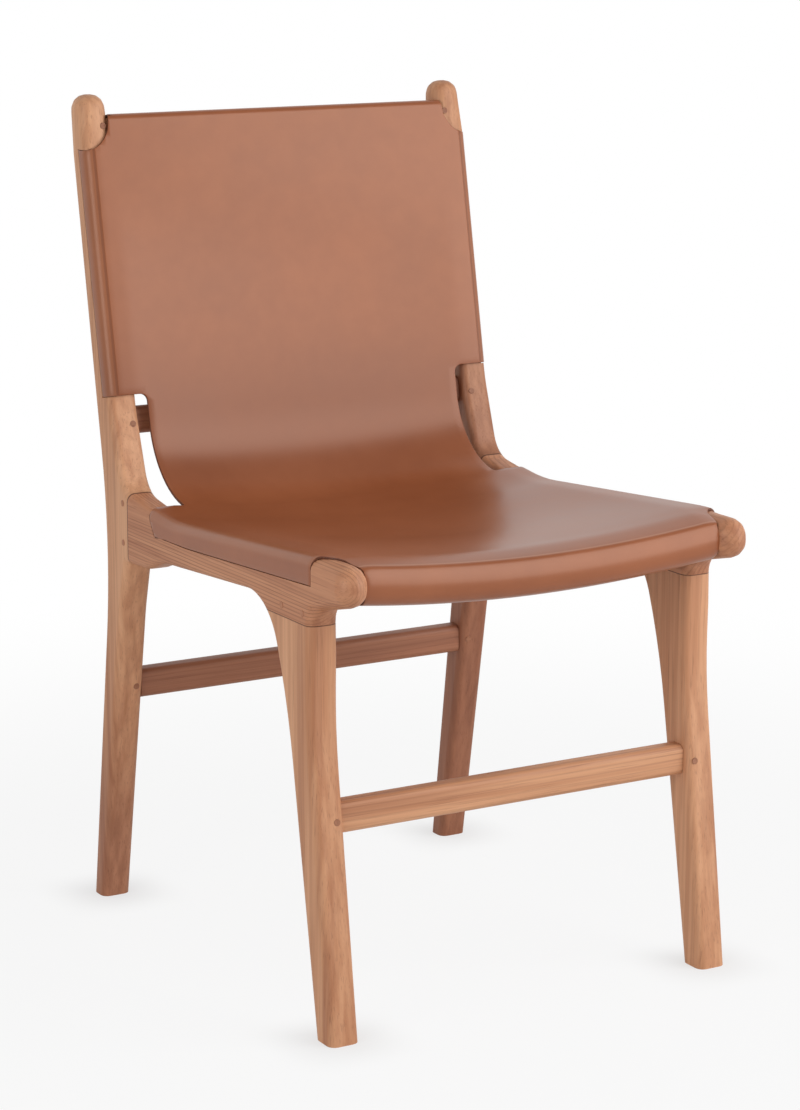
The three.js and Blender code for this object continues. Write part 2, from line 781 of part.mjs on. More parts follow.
// How far the leather hangs below the straight line between the side frames, halfway across.
const hang = [
  [lengthAt("topRailBottom"), 0],
  [midway("topRailBottom", "hem"), backSag],
  [lengthAt("hem"), backSag],
  [lengthAt("seatRear"), waistSag],
  [midway("seatRear", "noseTop"), seatSag],
  [lengthAt("noseTop"), seatFrontSag],
  [lengthAt("rollTop"), frontRailDip],
];
function sagAt(length) {
  const next = hang.findIndex(([at]) => at > length);
  if (next === 0) return 0;
  if (next < 0) return frontRailDip;
  const [[fromAt, from], [toAt, to]] = [hang[next - 1], hang[next]];
  return THREE.MathUtils.lerp(from, to, THREE.MathUtils.smoothstep(length, fromAt, toAt));
}

// The outward normal of the path at each of its points, away from the wood.
function slingNormal(i) {
  const before = slingPath[Math.max(i - 1, 0)].point;
  const after = slingPath[Math.min(i + 1, slingPath.length - 1)].point;
  const along = after.clone().sub(before).normalize();
  return new THREE.Vector2(along.y, -along.x);
}

// Columns across half the sling: flat over the seat and back, round the frame's edge, down its side.
// Each has its X, its depth behind the sling's face, and the way the leather faces there.
const wrapRadius = edgeRound + leatherGap;
const wrapFace = rabbetFace + leatherGap;
const wrapStart = wrapFace - wrapRadius;
const flat = (x) => ({ x, depth: 0, angle: 0 });
const wrapped = (angle) => ({
  x: wrapStart + wrapRadius * Math.sin(angle),
  depth: wrapRadius * (1 - Math.cos(angle)),
  angle,
});
const columns = [
  ...stationShares.map((share) => flat(share * waistHalfWidth)),
  flat(innerFace - jointGap),
  flat(wrapStart),
  wrapped(Math.PI / 6),
  wrapped(Math.PI / 3),
  wrapped(Math.PI / 2),
  { x: wrapFace, depth: 0, angle: Math.PI / 2, isEdge: true },
];
const waistColumns = stationShares.length - 1;
const betweenFrames = waistColumns + 1;
const fullWidth = columns.length - 1;

// How many columns of the half sling the stretch after each corner has.
function columnsAfter(cornerIndex) {
  if (cornerIndex < rank("shoulder")) return betweenFrames;
  if (cornerIndex < rank("hem")) return fullWidth;
  if (cornerIndex < rank("seatRear")) return waistColumns;
  if (cornerIndex < rank("noseCut")) return fullWidth;
  return betweenFrames;
}

// The two points of the sling, on the wood's side and on the sitter's side.
function slingPair(row, column, side) {
  const { x, depth, angle, isEdge } = columns[column];
  const { point, corner: at } = slingPath[row];
  const onSeat = at >= rank("seatRear");
  const outward = slingNormal(row);
  const flapDepth = onSeat ? point.y - flapEdgeAt(point.x) : backFlapReach + leatherGap;
  const down = isEdge ? flapDepth : depth;
  const skewed = at === rank("seatRear") ? (seatFlapSkew * down) / flapDepth : 0;
  const sinking = at > rank("noseTop") ? upwards : outward;
  const base = point
    .clone()
    .addScaledVector(onSeat ? upwards : outward, -down)
    .addScaledVector(sinking, -sagAt(slingLengths[row]) * hollowShareAt(x))
    .addScaledVector(rearwards, -skewed);
  const inner = new THREE.Vector3(side * x, base.x, base.y);
  const facing = new THREE.Vector3(
    side * Math.sin(angle), outward.x * Math.cos(angle), outward.y * Math.cos(angle),
  );
  return [inner, inner.clone().addScaledVector(facing, leatherThickness)];
}

// Builds the sling from its cells: a face on each side, and a wall along each free edge.
function makeSlingGeometry() {
  const positions = [];
  const numbers = new Map();
  const vertex = (row, across, layer) => {
    const key = [row, across, layer].join();
    if (!numbers.has(key)) {
      const p = slingPair(row, Math.abs(across), Math.sign(across) || 1)[layer];
      numbers.set(key, positions.length / 3);
      positions.push(p.x, p.y, p.z);
    }
    return numbers.get(key);
  };
  const cells = new Set();
  for (let row = 0; row < slingPath.length - 1; row++) {
    const reach = columnsAfter(slingPath[row].corner);
    for (let across = -reach; across < reach; across++) cells.add([row, across].join());
  }
  const faces = [];
  const quad = (a, b, c, d) => faces.push(a, b, c, a, c, d);
  const wall = (a, b) => quad(vertex(...a, 0), vertex(...b, 0), vertex(...b, 1), vertex(...a, 1));
  for (const key of cells) {
    const [row, across] = key.split(",").map(Number);
    const ring = [[row, across], [row, across + 1], [row + 1, across + 1], [row + 1, across]];
    const outside = ring.map(([r, c]) => vertex(r, c, 1));
    const inside = ring.map(([r, c]) => vertex(r, c, 0));
    quad(...outside);
    quad(...inside.reverse());
    const beyond = [[row - 1, across], [row, across + 1], [row + 1, across], [row, across - 1]];
    beyond.forEach((neighbour, i) => {
      if (!cells.has(neighbour.join())) wall(ring[i], ring[(i + 1) % ring.length]);
    });
  }
  const geometry = new THREE.BufferGeometry();
  geometry.setAttribute("position", new THREE.Float32BufferAttribute(positions, 3));
  geometry.setIndex(faces);
  return facingOut(geometry);
}

function makeSling() {
  return solid(makeSlingGeometry()).subtract(bothSides(scallopCutter(0))).subtract(bothSides(noseCutter(0)));
}

// Materials

const teak = (colour) => new THREE.MeshStandardMaterial({ color: colour, roughness: 0.55, metalness: 0 });
const postTeak = teak(0xb98a66);
const railTeak = teak(0xa9785a);
const pegTeak = teak(0x8a5c40);
const saddleLeather = new THREE.MeshStandardMaterial({ color: 0xa8643c, roughness: 0.38, metalness: 0 });

// Assembly

const chair = new THREE.Group();
const standing = new THREE.Group();
chair.add(standing);

function place(name, geometry, material) {
  const mesh = new THREE.Mesh(geometry.toNonIndexed(), material);
  mesh.geometry.computeVertexNormals();
  mesh.name = name;
  standing.add(mesh);
}

// The piece modelled on the right is placed there, and its mirror image on the left.
function placePair(name, geometry, material) {
  place(name + "_right", geometry, material);
  place(name + "_left", mirrored(geometry), material);
}

const sideFrame = makeSideFrame();
const mortise = (block) => blockBetween(...block, jointGap);
const crossMortise = (piece) => crossTenons(piece, jointGap);

const post = sideFrame
  .subtract(inFrontOfPost)
  .subtract(mortise(railTenon))
  .subtract(crossMortise(topRail))
  .subtract(crossMortise(backRail))
  .subtract(crossMortise(rearStretcher))
  .subtract(pegHoles(postPegs));
placePair("rear_post", geometryOf(post), postTeak);

const rail = sideFrame
  .subtract(behindRail)
  .subtract(aroundLeg)
  .add(blockBetween(...railTenon))
  .subtract(mortise(legTenon))
  .subtract(crossMortise(frontRail))
  .subtract(pegHoles({ ...postPegs, ...railPegs }));
placePair("side_rail", geometryOf(rail), railTeak);

const leg = sideFrame
  .subtract(behindLeg)
  .subtract(aboveLeg)
  .add(blockBetween(...legTenon))
  .subtract(crossMortise(frontStretcher))
  .subtract(pegHoles({ ...legPegs, ...railPegs }));
placePair("front_leg", geometryOf(leg), postTeak);

const crosspieces = {
  top_rail: [topRail, postPegs],
  lower_back_rail: [backRail, postPegs],
  rear_stretcher: [rearStretcher, postPegs],
  front_stretcher: [frontStretcher, legPegs],
};
for (const [name, [piece, pegs]] of Object.entries(crosspieces)) {
  place(name, geometryOf(makeCrosspiece(piece).subtract(bothSides(pegHoles(pegs)))), postTeak);
}
place("front_seat_rail", geometryOf(makeCrosspiece(frontRail)), postTeak);

for (const [name, { start, direction }] of Object.entries({ ...postPegs, ...legPegs, ...railPegs })) {
  placePair(name, geometryOf(solid(makePeg(start, direction))), pegTeak);
}

place("leather_sling", geometryOf(makeSling()), saddleLeather);

// The origin lies on the floor, under the middle of the chair's length.
const bounds = new THREE.Box3().setFromObject(standing);
standing.position.y = -(bounds.min.y + bounds.max.y) / 2;

export default chair;
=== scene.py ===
# %% [markdown]
# A leather sling chair.
# The imported chair is the fixed frame of this scene: twenty-eight plain solids, in metres, that
# stand where they belong. Here each of them gets its looks. The wood keeps its shape and gets
# teak, the leather is cut out flat and bent round the chair, and the photograph's light and view
# are set up round it.
# The box of the plain solids is kept, so that the dressed chair's size can be printed beside it.
# The box of the plain solids is kept, because the dressed chair has to stay inside it.

# %% The imported chair
import math

import bmesh
import bpy
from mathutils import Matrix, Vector


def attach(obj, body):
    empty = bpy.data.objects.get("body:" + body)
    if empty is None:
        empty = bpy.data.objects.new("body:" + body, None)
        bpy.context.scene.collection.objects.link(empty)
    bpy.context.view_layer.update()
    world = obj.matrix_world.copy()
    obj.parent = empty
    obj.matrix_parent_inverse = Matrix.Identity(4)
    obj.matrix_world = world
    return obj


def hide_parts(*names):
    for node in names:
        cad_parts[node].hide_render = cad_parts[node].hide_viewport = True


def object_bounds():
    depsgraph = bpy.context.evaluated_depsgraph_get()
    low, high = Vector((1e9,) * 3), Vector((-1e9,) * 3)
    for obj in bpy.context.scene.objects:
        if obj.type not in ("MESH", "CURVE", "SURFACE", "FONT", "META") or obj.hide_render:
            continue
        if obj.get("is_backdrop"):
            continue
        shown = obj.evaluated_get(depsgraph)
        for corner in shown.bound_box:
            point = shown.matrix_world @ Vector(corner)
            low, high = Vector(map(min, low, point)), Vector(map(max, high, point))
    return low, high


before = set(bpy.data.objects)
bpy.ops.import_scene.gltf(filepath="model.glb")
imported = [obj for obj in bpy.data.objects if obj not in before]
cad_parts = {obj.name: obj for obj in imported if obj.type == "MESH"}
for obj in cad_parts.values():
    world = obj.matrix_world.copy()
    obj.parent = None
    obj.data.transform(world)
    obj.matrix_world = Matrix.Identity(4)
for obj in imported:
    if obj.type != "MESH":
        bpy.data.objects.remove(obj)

cad_low, cad_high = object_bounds()
print("solids:", len(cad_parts), "box:", tuple(cad_low), tuple(cad_high))

# %% [markdown]
# Two small jobs come back for every new piece: turning a finished bmesh into a mesh, and putting
# an object that uses it into the scene. Each gets a name once, so that the cells below can keep to
# the chair.

# %% Meshes and objects
def mesh_of(bm, name):
    mesh = bpy.data.meshes.new(name)
    bm.to_mesh(mesh)
    bm.free()
    return mesh


def put(name, data):
    thing = bpy.data.objects.new(name, data)
    bpy.context.scene.collection.objects.link(thing)
    return thing


# %% [markdown]
# A finish is a net of nodes, and most of its nodes only add, multiply and compare numbers.
# Such sums are easier to read as sums. So a node's output is wrapped in a small class that knows
# plus, minus, times and divided by, and each of these adds a Math node by itself.
# Every other kind of node comes from one method of the finish, which takes the kind, its settings,
# and what goes into its sockets.

# %% Wires
class Wire:
    """The output of a node. Sums with it add Math nodes to its finish."""

    def __init__(self, finish, socket):
        self.finish = finish
        self.socket = socket

    def beside(self, output):
        """Another output of the same node, by its number or its name."""
        return Wire(self.finish, self.socket.node.outputs[output])

    def maths(self, operation, *values):
        return self.finish.add("Math", {"operation": operation}, dict(enumerate(values)))

    def __add__(self, other):
        return self.maths("ADD", self, other)

    def __sub__(self, other):
        return self.maths("SUBTRACT", self, other)

    def __rsub__(self, other):
        return self.maths("SUBTRACT", other, self)

    def __mul__(self, other):
        return self.maths("MULTIPLY", self, other)

    def __truediv__(self, other):
        return self.maths("DIVIDE", self, other)

    __radd__ = __add__
    __rmul__ = __mul__

    def __abs__(self):
        return self.maths("ABSOLUTE", self)

    def fraction(self):
        return self.maths("FRACT", self)

    def greater_of(self, other):
        return self.maths("MAXIMUM", self, other)

    def rise(self, low, high):
        """0 below low, 1 above high, and a smooth rise between them."""
        values = {"Value": self, "From Min": low, "From Max": high}
        return self.finish.add("MapRange", {"interpolation_type": "SMOOTHSTEP"}, values)


# %% [markdown]
# The finish itself holds the net of nodes, of a material or of the light all round. Three kinds of
# node are asked for so often that they get short names: a mix of two colours, noise, and bumps.
# Colours are written as they look on a screen, and turned into light before Blender gets them.

# %% Finishes
class Finish:
    """A material, or the light of the world, and the one method that adds nodes to it."""

    def __init__(self, name, of_world=False):
        self.material = (bpy.data.worlds if of_world else bpy.data.materials).new(name)
        self.material.use_nodes = True
        self.tree = self.material.node_tree
        self.shader = self.tree.nodes["Background" if of_world else "Principled BSDF"]

    def feed(self, socket, value):
        if isinstance(value, Wire):
            self.tree.links.new(value.socket, socket)
        else:
            socket.default_value = value

    def add(self, kind, settings=None, values=None, output=0):
        node = self.tree.nodes.new("ShaderNode" + kind)
        for name, setting in (settings or {}).items():
            setattr(node, name, setting)
        for name, value in (values or {}).items():
            self.feed(node.inputs[name], value)
        return Wire(self, node.outputs[output])

    def mix(self, share, first, second):
        """A colour between two others.

        Sockets 6 and 7 of a Mix node are its colours, and output 2 is the mixed one.
        """
        return self.add("Mix", {"data_type": "RGBA"}, {0: share, 6: first, 7: second}, output=2)

    def noise(self, place, scale, detail, roughness=0.5):
        values = {"Vector": place, "Scale": scale, "Detail": detail, "Roughness": roughness}
        return self.add("TexNoise", {}, values)

    def bumps(self, height, strength, depth):
        return self.add("Bump", {}, {"Strength": strength, "Distance": depth, "Height": height})

    def dress(self, **values):
        """Feeds sockets of the surface shader. An underscore stands for a space in a name."""
        for name, value in values.items():
            self.feed(self.shader.inputs[name.replace("_", " ")], value)


def paint(red, green, blue):
    """A colour as it looks on a screen, from 0 to 255, as the light values Blender works with."""
    light = [((c / 255 + 0.055) / 1.055) ** 2.4 for c in (red, green, blue)]
    return (*light, 1)


# %% [markdown]
# The chair is made of teak. A photograph of boards wrapped round the pieces would show seams and
# stretch at every rounded edge. Real wood doesn't, because its lines are cuts through the growth
# rings of a trunk. So the finish is made in the round too: a trunk of rings, as long as the piece,
# stands in space, and the piece is what the saw leaves of it. Along the sides the rings show as
# long lines, and on the end of the nose as curves, with no extra work.
# Each piece says along which axis its grain runs, and where the heart of the trunk was, across
# the grain. Very close to the heart a year's line would be a dot, so the rings start a little out.
# Noise that is drawn out along the grain makes threads. Each kind of thread is given by how many
# of them lie in a metre across the grain and along it, and by how much fine detail it has.

# %% Threads and rings
QUARTER = math.pi / 2
TURNS = {"Z": (0, 0, 0), "Y": (QUARTER, 0, 0), "X": (0, -QUARTER, 0)}
ALONG_GRAIN = {"X": (1, 0, 0), "Y": (0, 1, 0), "Z": (0, 0, 1)}
FIRST_RINGS = 0.010, 0.017
WANDERING, UNEVEN_YEARS = (22, 2.2, 2), (30, 2.5, 1)
PATCHES, STREAKS, VEINS, PORES = (13, 1.6, 3), (150, 3.5, 4), (60, 1.8, 3), (900, 14, 1)


def threads(finish, place, across, along, detail, seed):
    values = {0: place, 1: (across, across, along), 2: (seed, 2 * seed, 3 * seed)}
    stretched = finish.add("VectorMath", {"operation": "MULTIPLY_ADD"}, values)
    return finish.noise(stretched, 1, detail)


def growth_rings(finish, place, width, waver, seed):
    """Rings round the heart: 1 on the thin dark line that ends a year, near 0 between two lines."""
    flat = finish.add("VectorMath", {"operation": "MULTIPLY"}, {0: place, 1: (1, 1, 0)})
    radius = finish.add("VectorMath", {"operation": "LENGTH"}, {0: flat}, output="Value")
    wavering = threads(finish, place, *WANDERING, seed) - 0.5
    share = ((radius + wavering * waver) / width).fraction()
    dark = (1 - share.rise(0.02, 0.34)).greater_of(share.rise(0.86, 1.0))
    return dark * radius.rise(*FIRST_RINGS)


# %% [markdown]
# Oiled teak isn't one brown. A hand's breadth is lighter or darker than the next, fine streaks run
# through both, and here and there a redder vein follows the grain for the length of a finger.
# Over this lie the lines of the years, and over all of it the pores: short dark strokes that are
# small pits too. Where the saw cut across the grain the wood drinks more oil and is darker.
# Each of these is its own layer of noise, because then each can have its own size.

# %% Teak in the round
VEIN, YEAR_LINE, PORE = paint(148, 85, 56), paint(120, 70, 46), paint(96, 54, 36)
END_GRAIN, JOINT_LINE = paint(138, 84, 56), paint(74, 40, 26)
JOINT_WIDTH = 0.0003, 0.0011


def teak(name, grain, heart, tones, ring, lines, waver=0.010, seams=(), paler=None, seed=1.0):
    """The finish of one piece of wood.

    tones are its light and its dark brown, ring is a year's growth, lines says how strongly the
    years show, and waver how far they wander. seams are joints that cross the piece, each by its
    axis and place. paler gives two heights, and the lighter tones that the piece has above them.
    """
    finish = Finish(name)
    place = finish.add("TexCoord", output="Object")
    towards_heart = (-heart[0], -heart[1], 0)
    values = {"Vector": place, "Rotation": TURNS[grain], "Location": towards_heart}
    turned = finish.add("Mapping", {}, values)
    parts = finish.add("SeparateXYZ", {}, {0: place})

    patches = threads(finish, turned, *PATCHES, seed + 7)
    streaks = threads(finish, turned, *STREAKS, seed + 3)
    tone = patches.rise(0.3, 0.7) * 0.5 + streaks.rise(0.28, 0.72) * 0.5
    even = finish.mix(tone, tones[1], tones[0])
    if paler:
        low, high, pale = paler
        even = finish.mix(parts.beside(2).rise(low, high), even, finish.mix(tone, pale[1], pale[0]))
    veins = threads(finish, turned, *VEINS, seed + 13).rise(0.52, 0.72)
    ground = finish.mix(veins * 0.36, even, VEIN)

    rings = growth_rings(finish, turned, ring, waver, seed)
    strength = threads(finish, turned, *UNEVEN_YEARS, seed + 11).rise(0.25, 0.75) * 0.65 + 0.35
    line = rings * strength * lines
    lined = finish.mix(line, ground, YEAR_LINE)
    pores = threads(finish, turned, *PORES, seed + 5).rise(0.58, 0.74)
    pored = finish.mix(pores * 0.24, lined, PORE)

    normal = finish.add("NewGeometry", output="Normal")
    sides = {0: normal, 1: ALONG_GRAIN[grain]}
    facing = finish.add("VectorMath", {"operation": "DOT_PRODUCT"}, sides, output="Value")
    shown = finish.mix(abs(facing).rise(0.6, 0.98) * 0.22, pored, END_GRAIN)
    for axis, where in seams:
        seam = 1 - abs(parts.beside(axis) - where).rise(*JOINT_WIDTH)
        shown = finish.mix(seam * 0.8, shown, JOINT_LINE)

    bump = finish.bumps(1 - line * 0.5 - pores, strength=0.35, depth=0.0003)
    finish.dress(Base_Color=shown, Roughness=0.50 + line * 0.12 + pores * 0.1, Normal=bump)
    finish.dress(Specular_IOR_Level=0.42)
    return finish.material


# %% [markdown]
# The solids of the wood have the right shape, but they come as loose triangles with flat facets.
# A copy of each is merged, so that neighbouring triangles share their corners. Then it is shaded
# smooth, and kept sharp only along the edges where a joiner leaves an edge: where a piece ends at
# a joint. A Weighted Normal modifier keeps the large flat faces flat beside their rounded edges.

# %% A worked copy of a wooden solid
SAME_PLACE = 0.000002
SHARP = math.radians(38)


def worked(node, material, slot):
    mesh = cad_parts[node].data.copy()
    bm = bmesh.new()
    bm.from_mesh(mesh)
    bmesh.ops.remove_doubles(bm, verts=bm.verts, dist=SAME_PLACE)
    for face in bm.faces:
        face.smooth = True
    for edge in bm.edges:
        edge.smooth = edge.calc_face_angle(0) < SHARP
    bm.to_mesh(mesh)
    bm.free()
    mesh.materials.clear()
    mesh.materials.append(material)
    piece = put(node + "_teak", mesh)
    even = piece.modifiers.new("Even shading", "WEIGHTED_NORMAL")
    even.keep_sharp = True
    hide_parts(node)
    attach(piece, "root")
    return piece


# %% [markdown]
# No two sticks of a chair come from the same place in the trunk. The posts and legs are light and
# straight-grained, with long streaks. The side rails are a little redder. On the left one the
# heart of the trunk ran close to its outer face, at half the height of the nose: there the rings
# close round the nose's end. On the right one it was far away.
# The left rear post is darker and redder towards its foot. The right rear post is darker below
# the seat and light at its head: that is painted shade, the shade under the seat put into the
# wood's colour instead of being left to the lamps, so it stays when the chair is turned.
# A glued joint shows as a thin dark line where two pieces meet.

# %% Posts, legs and rails
LIGHT_TEAK = paint(232, 176, 135), paint(190, 129, 91)
RED_TEAK = paint(218, 157, 118), paint(180, 117, 83)
# Painted shade: the next tones are a darker teak for wood that stands in the shade under the seat.
SHADED_TEAK = paint(170, 112, 82), paint(134, 82, 58)
FOOT_TEAK = paint(206, 144, 110), paint(156, 101, 73)

POST_JOINT = cad_low.y + 0.458
LEG_JOINT = 0.402
at_post, at_leg = [(1, POST_JOINT)], [(2, LEG_JOINT)]
sticks = {
    "rear_post_left": dict(grain="Z", heart=(-0.16, 0.42), tones=FOOT_TEAK, ring=0.0052,
                           lines=0.08, seams=at_post, paler=(0.03, 0.24, LIGHT_TEAK)),
    # painted shade: the right rear post is dark below the seat and turns light towards its head
    "rear_post_right": dict(grain="Z", heart=(0.30, 0.36), tones=SHADED_TEAK, ring=0.0060,
                            lines=0.08, seams=at_post, paler=(0.35, 0.84, LIGHT_TEAK)),
    "front_leg_left": dict(grain="Z", heart=(-0.27, -0.05), tones=LIGHT_TEAK, ring=0.0065,
                           lines=0.08, seams=at_leg),
    "front_leg_right": dict(grain="Z", heart=(0.12, -0.02), tones=LIGHT_TEAK, ring=0.0070,
                            lines=0.08, seams=at_leg),
    "side_rail_left": dict(grain="Y", heart=(-0.2310, -0.449), tones=RED_TEAK, ring=0.0034,
                           lines=0.55, waver=0.008, seams=at_post),
    "side_rail_right": dict(grain="Y", heart=(0.30, -0.36), tones=RED_TEAK, ring=0.0050,
                            lines=0.35, seams=at_post),
}
worked_pieces = []
for count, (node, cut) in enumerate(sticks.items()):
    finish = teak(node, seed=1.7 * count, **cut)
    worked_pieces.append(worked(node, finish, "rail_teak" if "rail" in node else "post_teak"))
print("side frames:", [piece.name for piece in worked_pieces])

# %% [markdown]
# Rails and stretchers run across the chair, and so does their grain. They show the lines of the
# years more than the legs do, because their faces were sawn flat through the rings. The lower two
# at the back get darker teak, as painted shade for the shade under the seat. One finish for all
# five would be less work, but in the photograph the front ones are as light as the legs.

# %% Crosspieces
crosspieces = {
    "top_rail": ((0.10, 0.34), LIGHT_TEAK),
    # painted shade: the lower back rail and the rear stretcher stand in the shade under the seat
    "lower_back_rail": ((-0.62, 0.30), SHADED_TEAK),
    "rear_stretcher": ((-0.14, 0.26), SHADED_TEAK),
    "front_stretcher": ((-0.32, -0.16), LIGHT_TEAK),
    "front_seat_rail": ((-0.36, -0.20), LIGHT_TEAK),
}
for count, (node, (heart, tones)) in enumerate(crosspieces.items()):
    finish = teak(node, "X", heart, tones, ring=0.0055, lines=0.32, seed=20 + 1.3 * count)
    worked_pieces.append(worked(node, finish, "rail_teak"))
print("with crosspieces:", len(worked_pieces))

# %% [markdown]
# The pegs are short round sticks that lock the joints. They show their ends, which drink more oil
# and stay darker than the wood round them. Those that are driven in from the front have their
# grain along the chair, and those from the side across it, so two finishes do for all sixteen.

# %% Pegs
PEG_TEAK = paint(180, 124, 93), paint(150, 98, 70)
from_front = teak("peg_front", "Y", (0.20, -0.20), PEG_TEAK, ring=0.003, lines=0.3, seed=31)
from_side = teak("peg_side", "X", (-0.43, 0.15), RED_TEAK, ring=0.003, lines=0.2, seed=37)
for node in sorted(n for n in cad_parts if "peg" in n):
    finish = from_side if node.startswith(("side_rail", "front_leg")) else from_front
    worked_pieces.append(worked(node, finish, "peg_teak"))
print("wooden pieces:", len(worked_pieces))

# %% [markdown]
# The leather is the chair's heart: one sheet of saddle leather, three millimetres thick, that is
# back and seat at once. A saddler marks it flat and cuts it out: full width over back and seat, a
# waist between them, two scallops for the heads of the posts and two cut-outs for the noses of the
# rails. Then it is wrapped, grain side out, round posts and rails and let into the wood.
# It could be modelled as a shell round the frame, but then its edges and its grain would have to
# be guessed. The scene makes it as the saddler does. First comes the line that the leather follows
# in side view, from the hem behind the top rail, over the rail, down the back, along the seat, and
# round the front rail to the hem below. It is straight stretches joined by arcs, measured along
# its length like a tape.
# Lengths here are in millimetres, back from the noses and up from the floor, as on a drawing.

# %% The line of the leather in side view
STRAIGHT = 1e-9


class Tape:
    """A line of straight stretches and arcs, through corners given as a point and a radius."""

    def __init__(self, corners):
        self.stretches = []
        self.length = 0
        names = list(corners)
        points = [Vector(corners[name][:2]) for name in names]
        radii = [corners[name][2] for name in names]
        ways = [(b - a).normalized() for a, b in zip(points, points[1:])]
        turns = [0] + [-a.angle_signed(b) for a, b in zip(ways, ways[1:])] + [0]
        tangents = [r * math.tan(abs(t) / 2) for r, t in zip(radii, turns)]
        room = [1] * len(points)
        for i in range(len(points) - 1):
            wanted = tangents[i] + tangents[i + 1]
            if wanted > 0:
                share = min(1, (points[i + 1] - points[i]).length / wanted)
                room[i], room[i + 1] = min(room[i], share), min(room[i + 1], share)
        taken = [tangent * share for tangent, share in zip(tangents, room)]
        self.marks = {names[0]: 0}
        for i, way in enumerate(ways):
            straight = (points[i + 1] - points[i]).length - taken[i] - taken[i + 1]
            self.lay(points[i] + way * taken[i], way, 0, straight)
            self.marks[names[i + 1]] = self.length
            bend = radii[i + 1] * room[i + 1] * abs(turns[i + 1])
            self.lay(points[i + 1] - way * taken[i + 1], way, turns[i + 1], bend)

    def lay(self, start, way, turn, length):
        if length > 1e-6:
            heading = math.atan2(way.y, way.x)
            self.stretches.append((self.length, start, heading, turn / length))
            self.length += length

    def at(self, distance):
        """The point at one distance along the tape, and the direction away from the wood there."""
        found = [s for s in self.stretches if s[0] <= distance + 1e-9] or self.stretches[:1]
        begin, start, heading, bend = found[-1]
        gone = distance - begin
        now = heading + bend * gone
        if abs(bend) < STRAIGHT:
            point = start + gone * Vector((math.cos(heading), math.sin(heading)))
        else:
            step = Vector((math.sin(now) - math.sin(heading), math.cos(heading) - math.cos(now)))
            point = start + step / bend
        return point, Vector((math.sin(now), -math.cos(now)))

    def where(self, axis, value, low, high):
        """The distance between two marks at which one coordinate passes a value."""
        a, b = self.marks[low], self.marks[high]
        rising = self.at(b)[0][axis] > self.at(a)[0][axis]
        for _ in range(40):
            middle = (a + b) / 2
            if (self.at(middle)[0][axis] < value) == rising:
                a = middle
            else:
                b = middle
        return a


# %% [markdown]
# The tape lies on wood, so the faces of the wood come next, again in side view: the straight front
# of the back, and the top of the side rail. From its rounded nose the rail runs down to a dip,
# where one sits, rises a little towards the back, and ends in the crotch with the post.
# The corners could be measured on the solids, but named values say what they are. A gap of a
# third of a millimetre keeps leather and wood from touching, which would flicker in a render.

# %% The wood that the leather lies on
GAP = 0.3
SEAT_TOP = 466.5
BACK_LOW, BACK_HIGH = Vector((494.65, 540)), Vector((555.5, 860))
NOSE_TIP = Vector((0, SEAT_TOP + 2))
NOSE_TOP = Vector((75, SEAT_TOP))
DIP = Vector((365, 444.5))
REAR_RISE = Vector((420, 451))
CROTCH = Vector((467.5, 458.3))
up_the_back = (BACK_HIGH - BACK_LOW).normalized()
into_the_back = Vector((up_the_back.y, -up_the_back.x))


def on_back(height):
    lean = (BACK_HIGH.x - BACK_LOW.x) / (BACK_HIGH.y - BACK_LOW.y)
    return Vector((BACK_LOW.x + lean * (height - BACK_LOW.y), height))


def off_back(height):
    return on_back(height) - GAP * into_the_back


def rail_top(setback):
    """The height of the side rail's top, as straight stretches."""
    corners = (NOSE_TIP, NOSE_TOP, DIP, REAR_RISE, CROTCH)
    for a, b in reversed(list(zip(corners, corners[1:]))):
        if setback > a.x:
            return a.y + (b.y - a.y) * (setback - a.x) / (b.x - a.x)
    return NOSE_TIP.y


def off_seat(setback):
    return Vector((setback, rail_top(setback) + GAP))


# %% [markdown]
# The top rail is a thin board that stands in the plane of the back. The leather goes over it in
# two tight quarter turns.

# %% Round the top rail
TOP_RAIL_EDGE = 837.5
HALF_HEIGHT, HALF_THICKNESS, EDGE_ROUNDING = 27, 10, 7
below_edge = on_back(TOP_RAIL_EDGE) - HALF_HEIGHT * up_the_back
top_rail_centre = below_edge + HALF_THICKNESS * into_the_back


def round_top_rail(side, down):
    """A point off the face of the top rail, in front of it or behind it, so far below its top."""
    aside = side * (HALF_THICKNESS + GAP) * into_the_back
    return top_rail_centre + aside + (HALF_HEIGHT + GAP - down) * up_the_back


def meeting(a, b, c, d):
    """Where the line through a and b meets the line through c and d."""
    r, s = b - a, d - c
    return a + r * ((c - a).cross(s) / r.cross(s))


# %% [markdown]
# Now the corners of the tape can be written down, in their order, each as a point and the radius
# of the bend there. The widest bend is the one between back and seat, where no wood holds the
# leather. At the front the leather doesn't turn sharply: it rolls over the bowed front rail in a
# full, soft curve, which starts at a fold between the two noses.
# The names of the corners are marks on the tape, and everything after this is measured from them.

# %% Marks on the tape
SEAT_REAR = 410
IN_FRONT, BEHIND = -1, 1
REAR_HEM_DROP = 34
ROUND_RAIL = EDGE_ROUNDING + GAP
BACK_TO_SEAT = 96
HEM_BELOW = 429.7
NOSE_CUT_SETBACK = 30

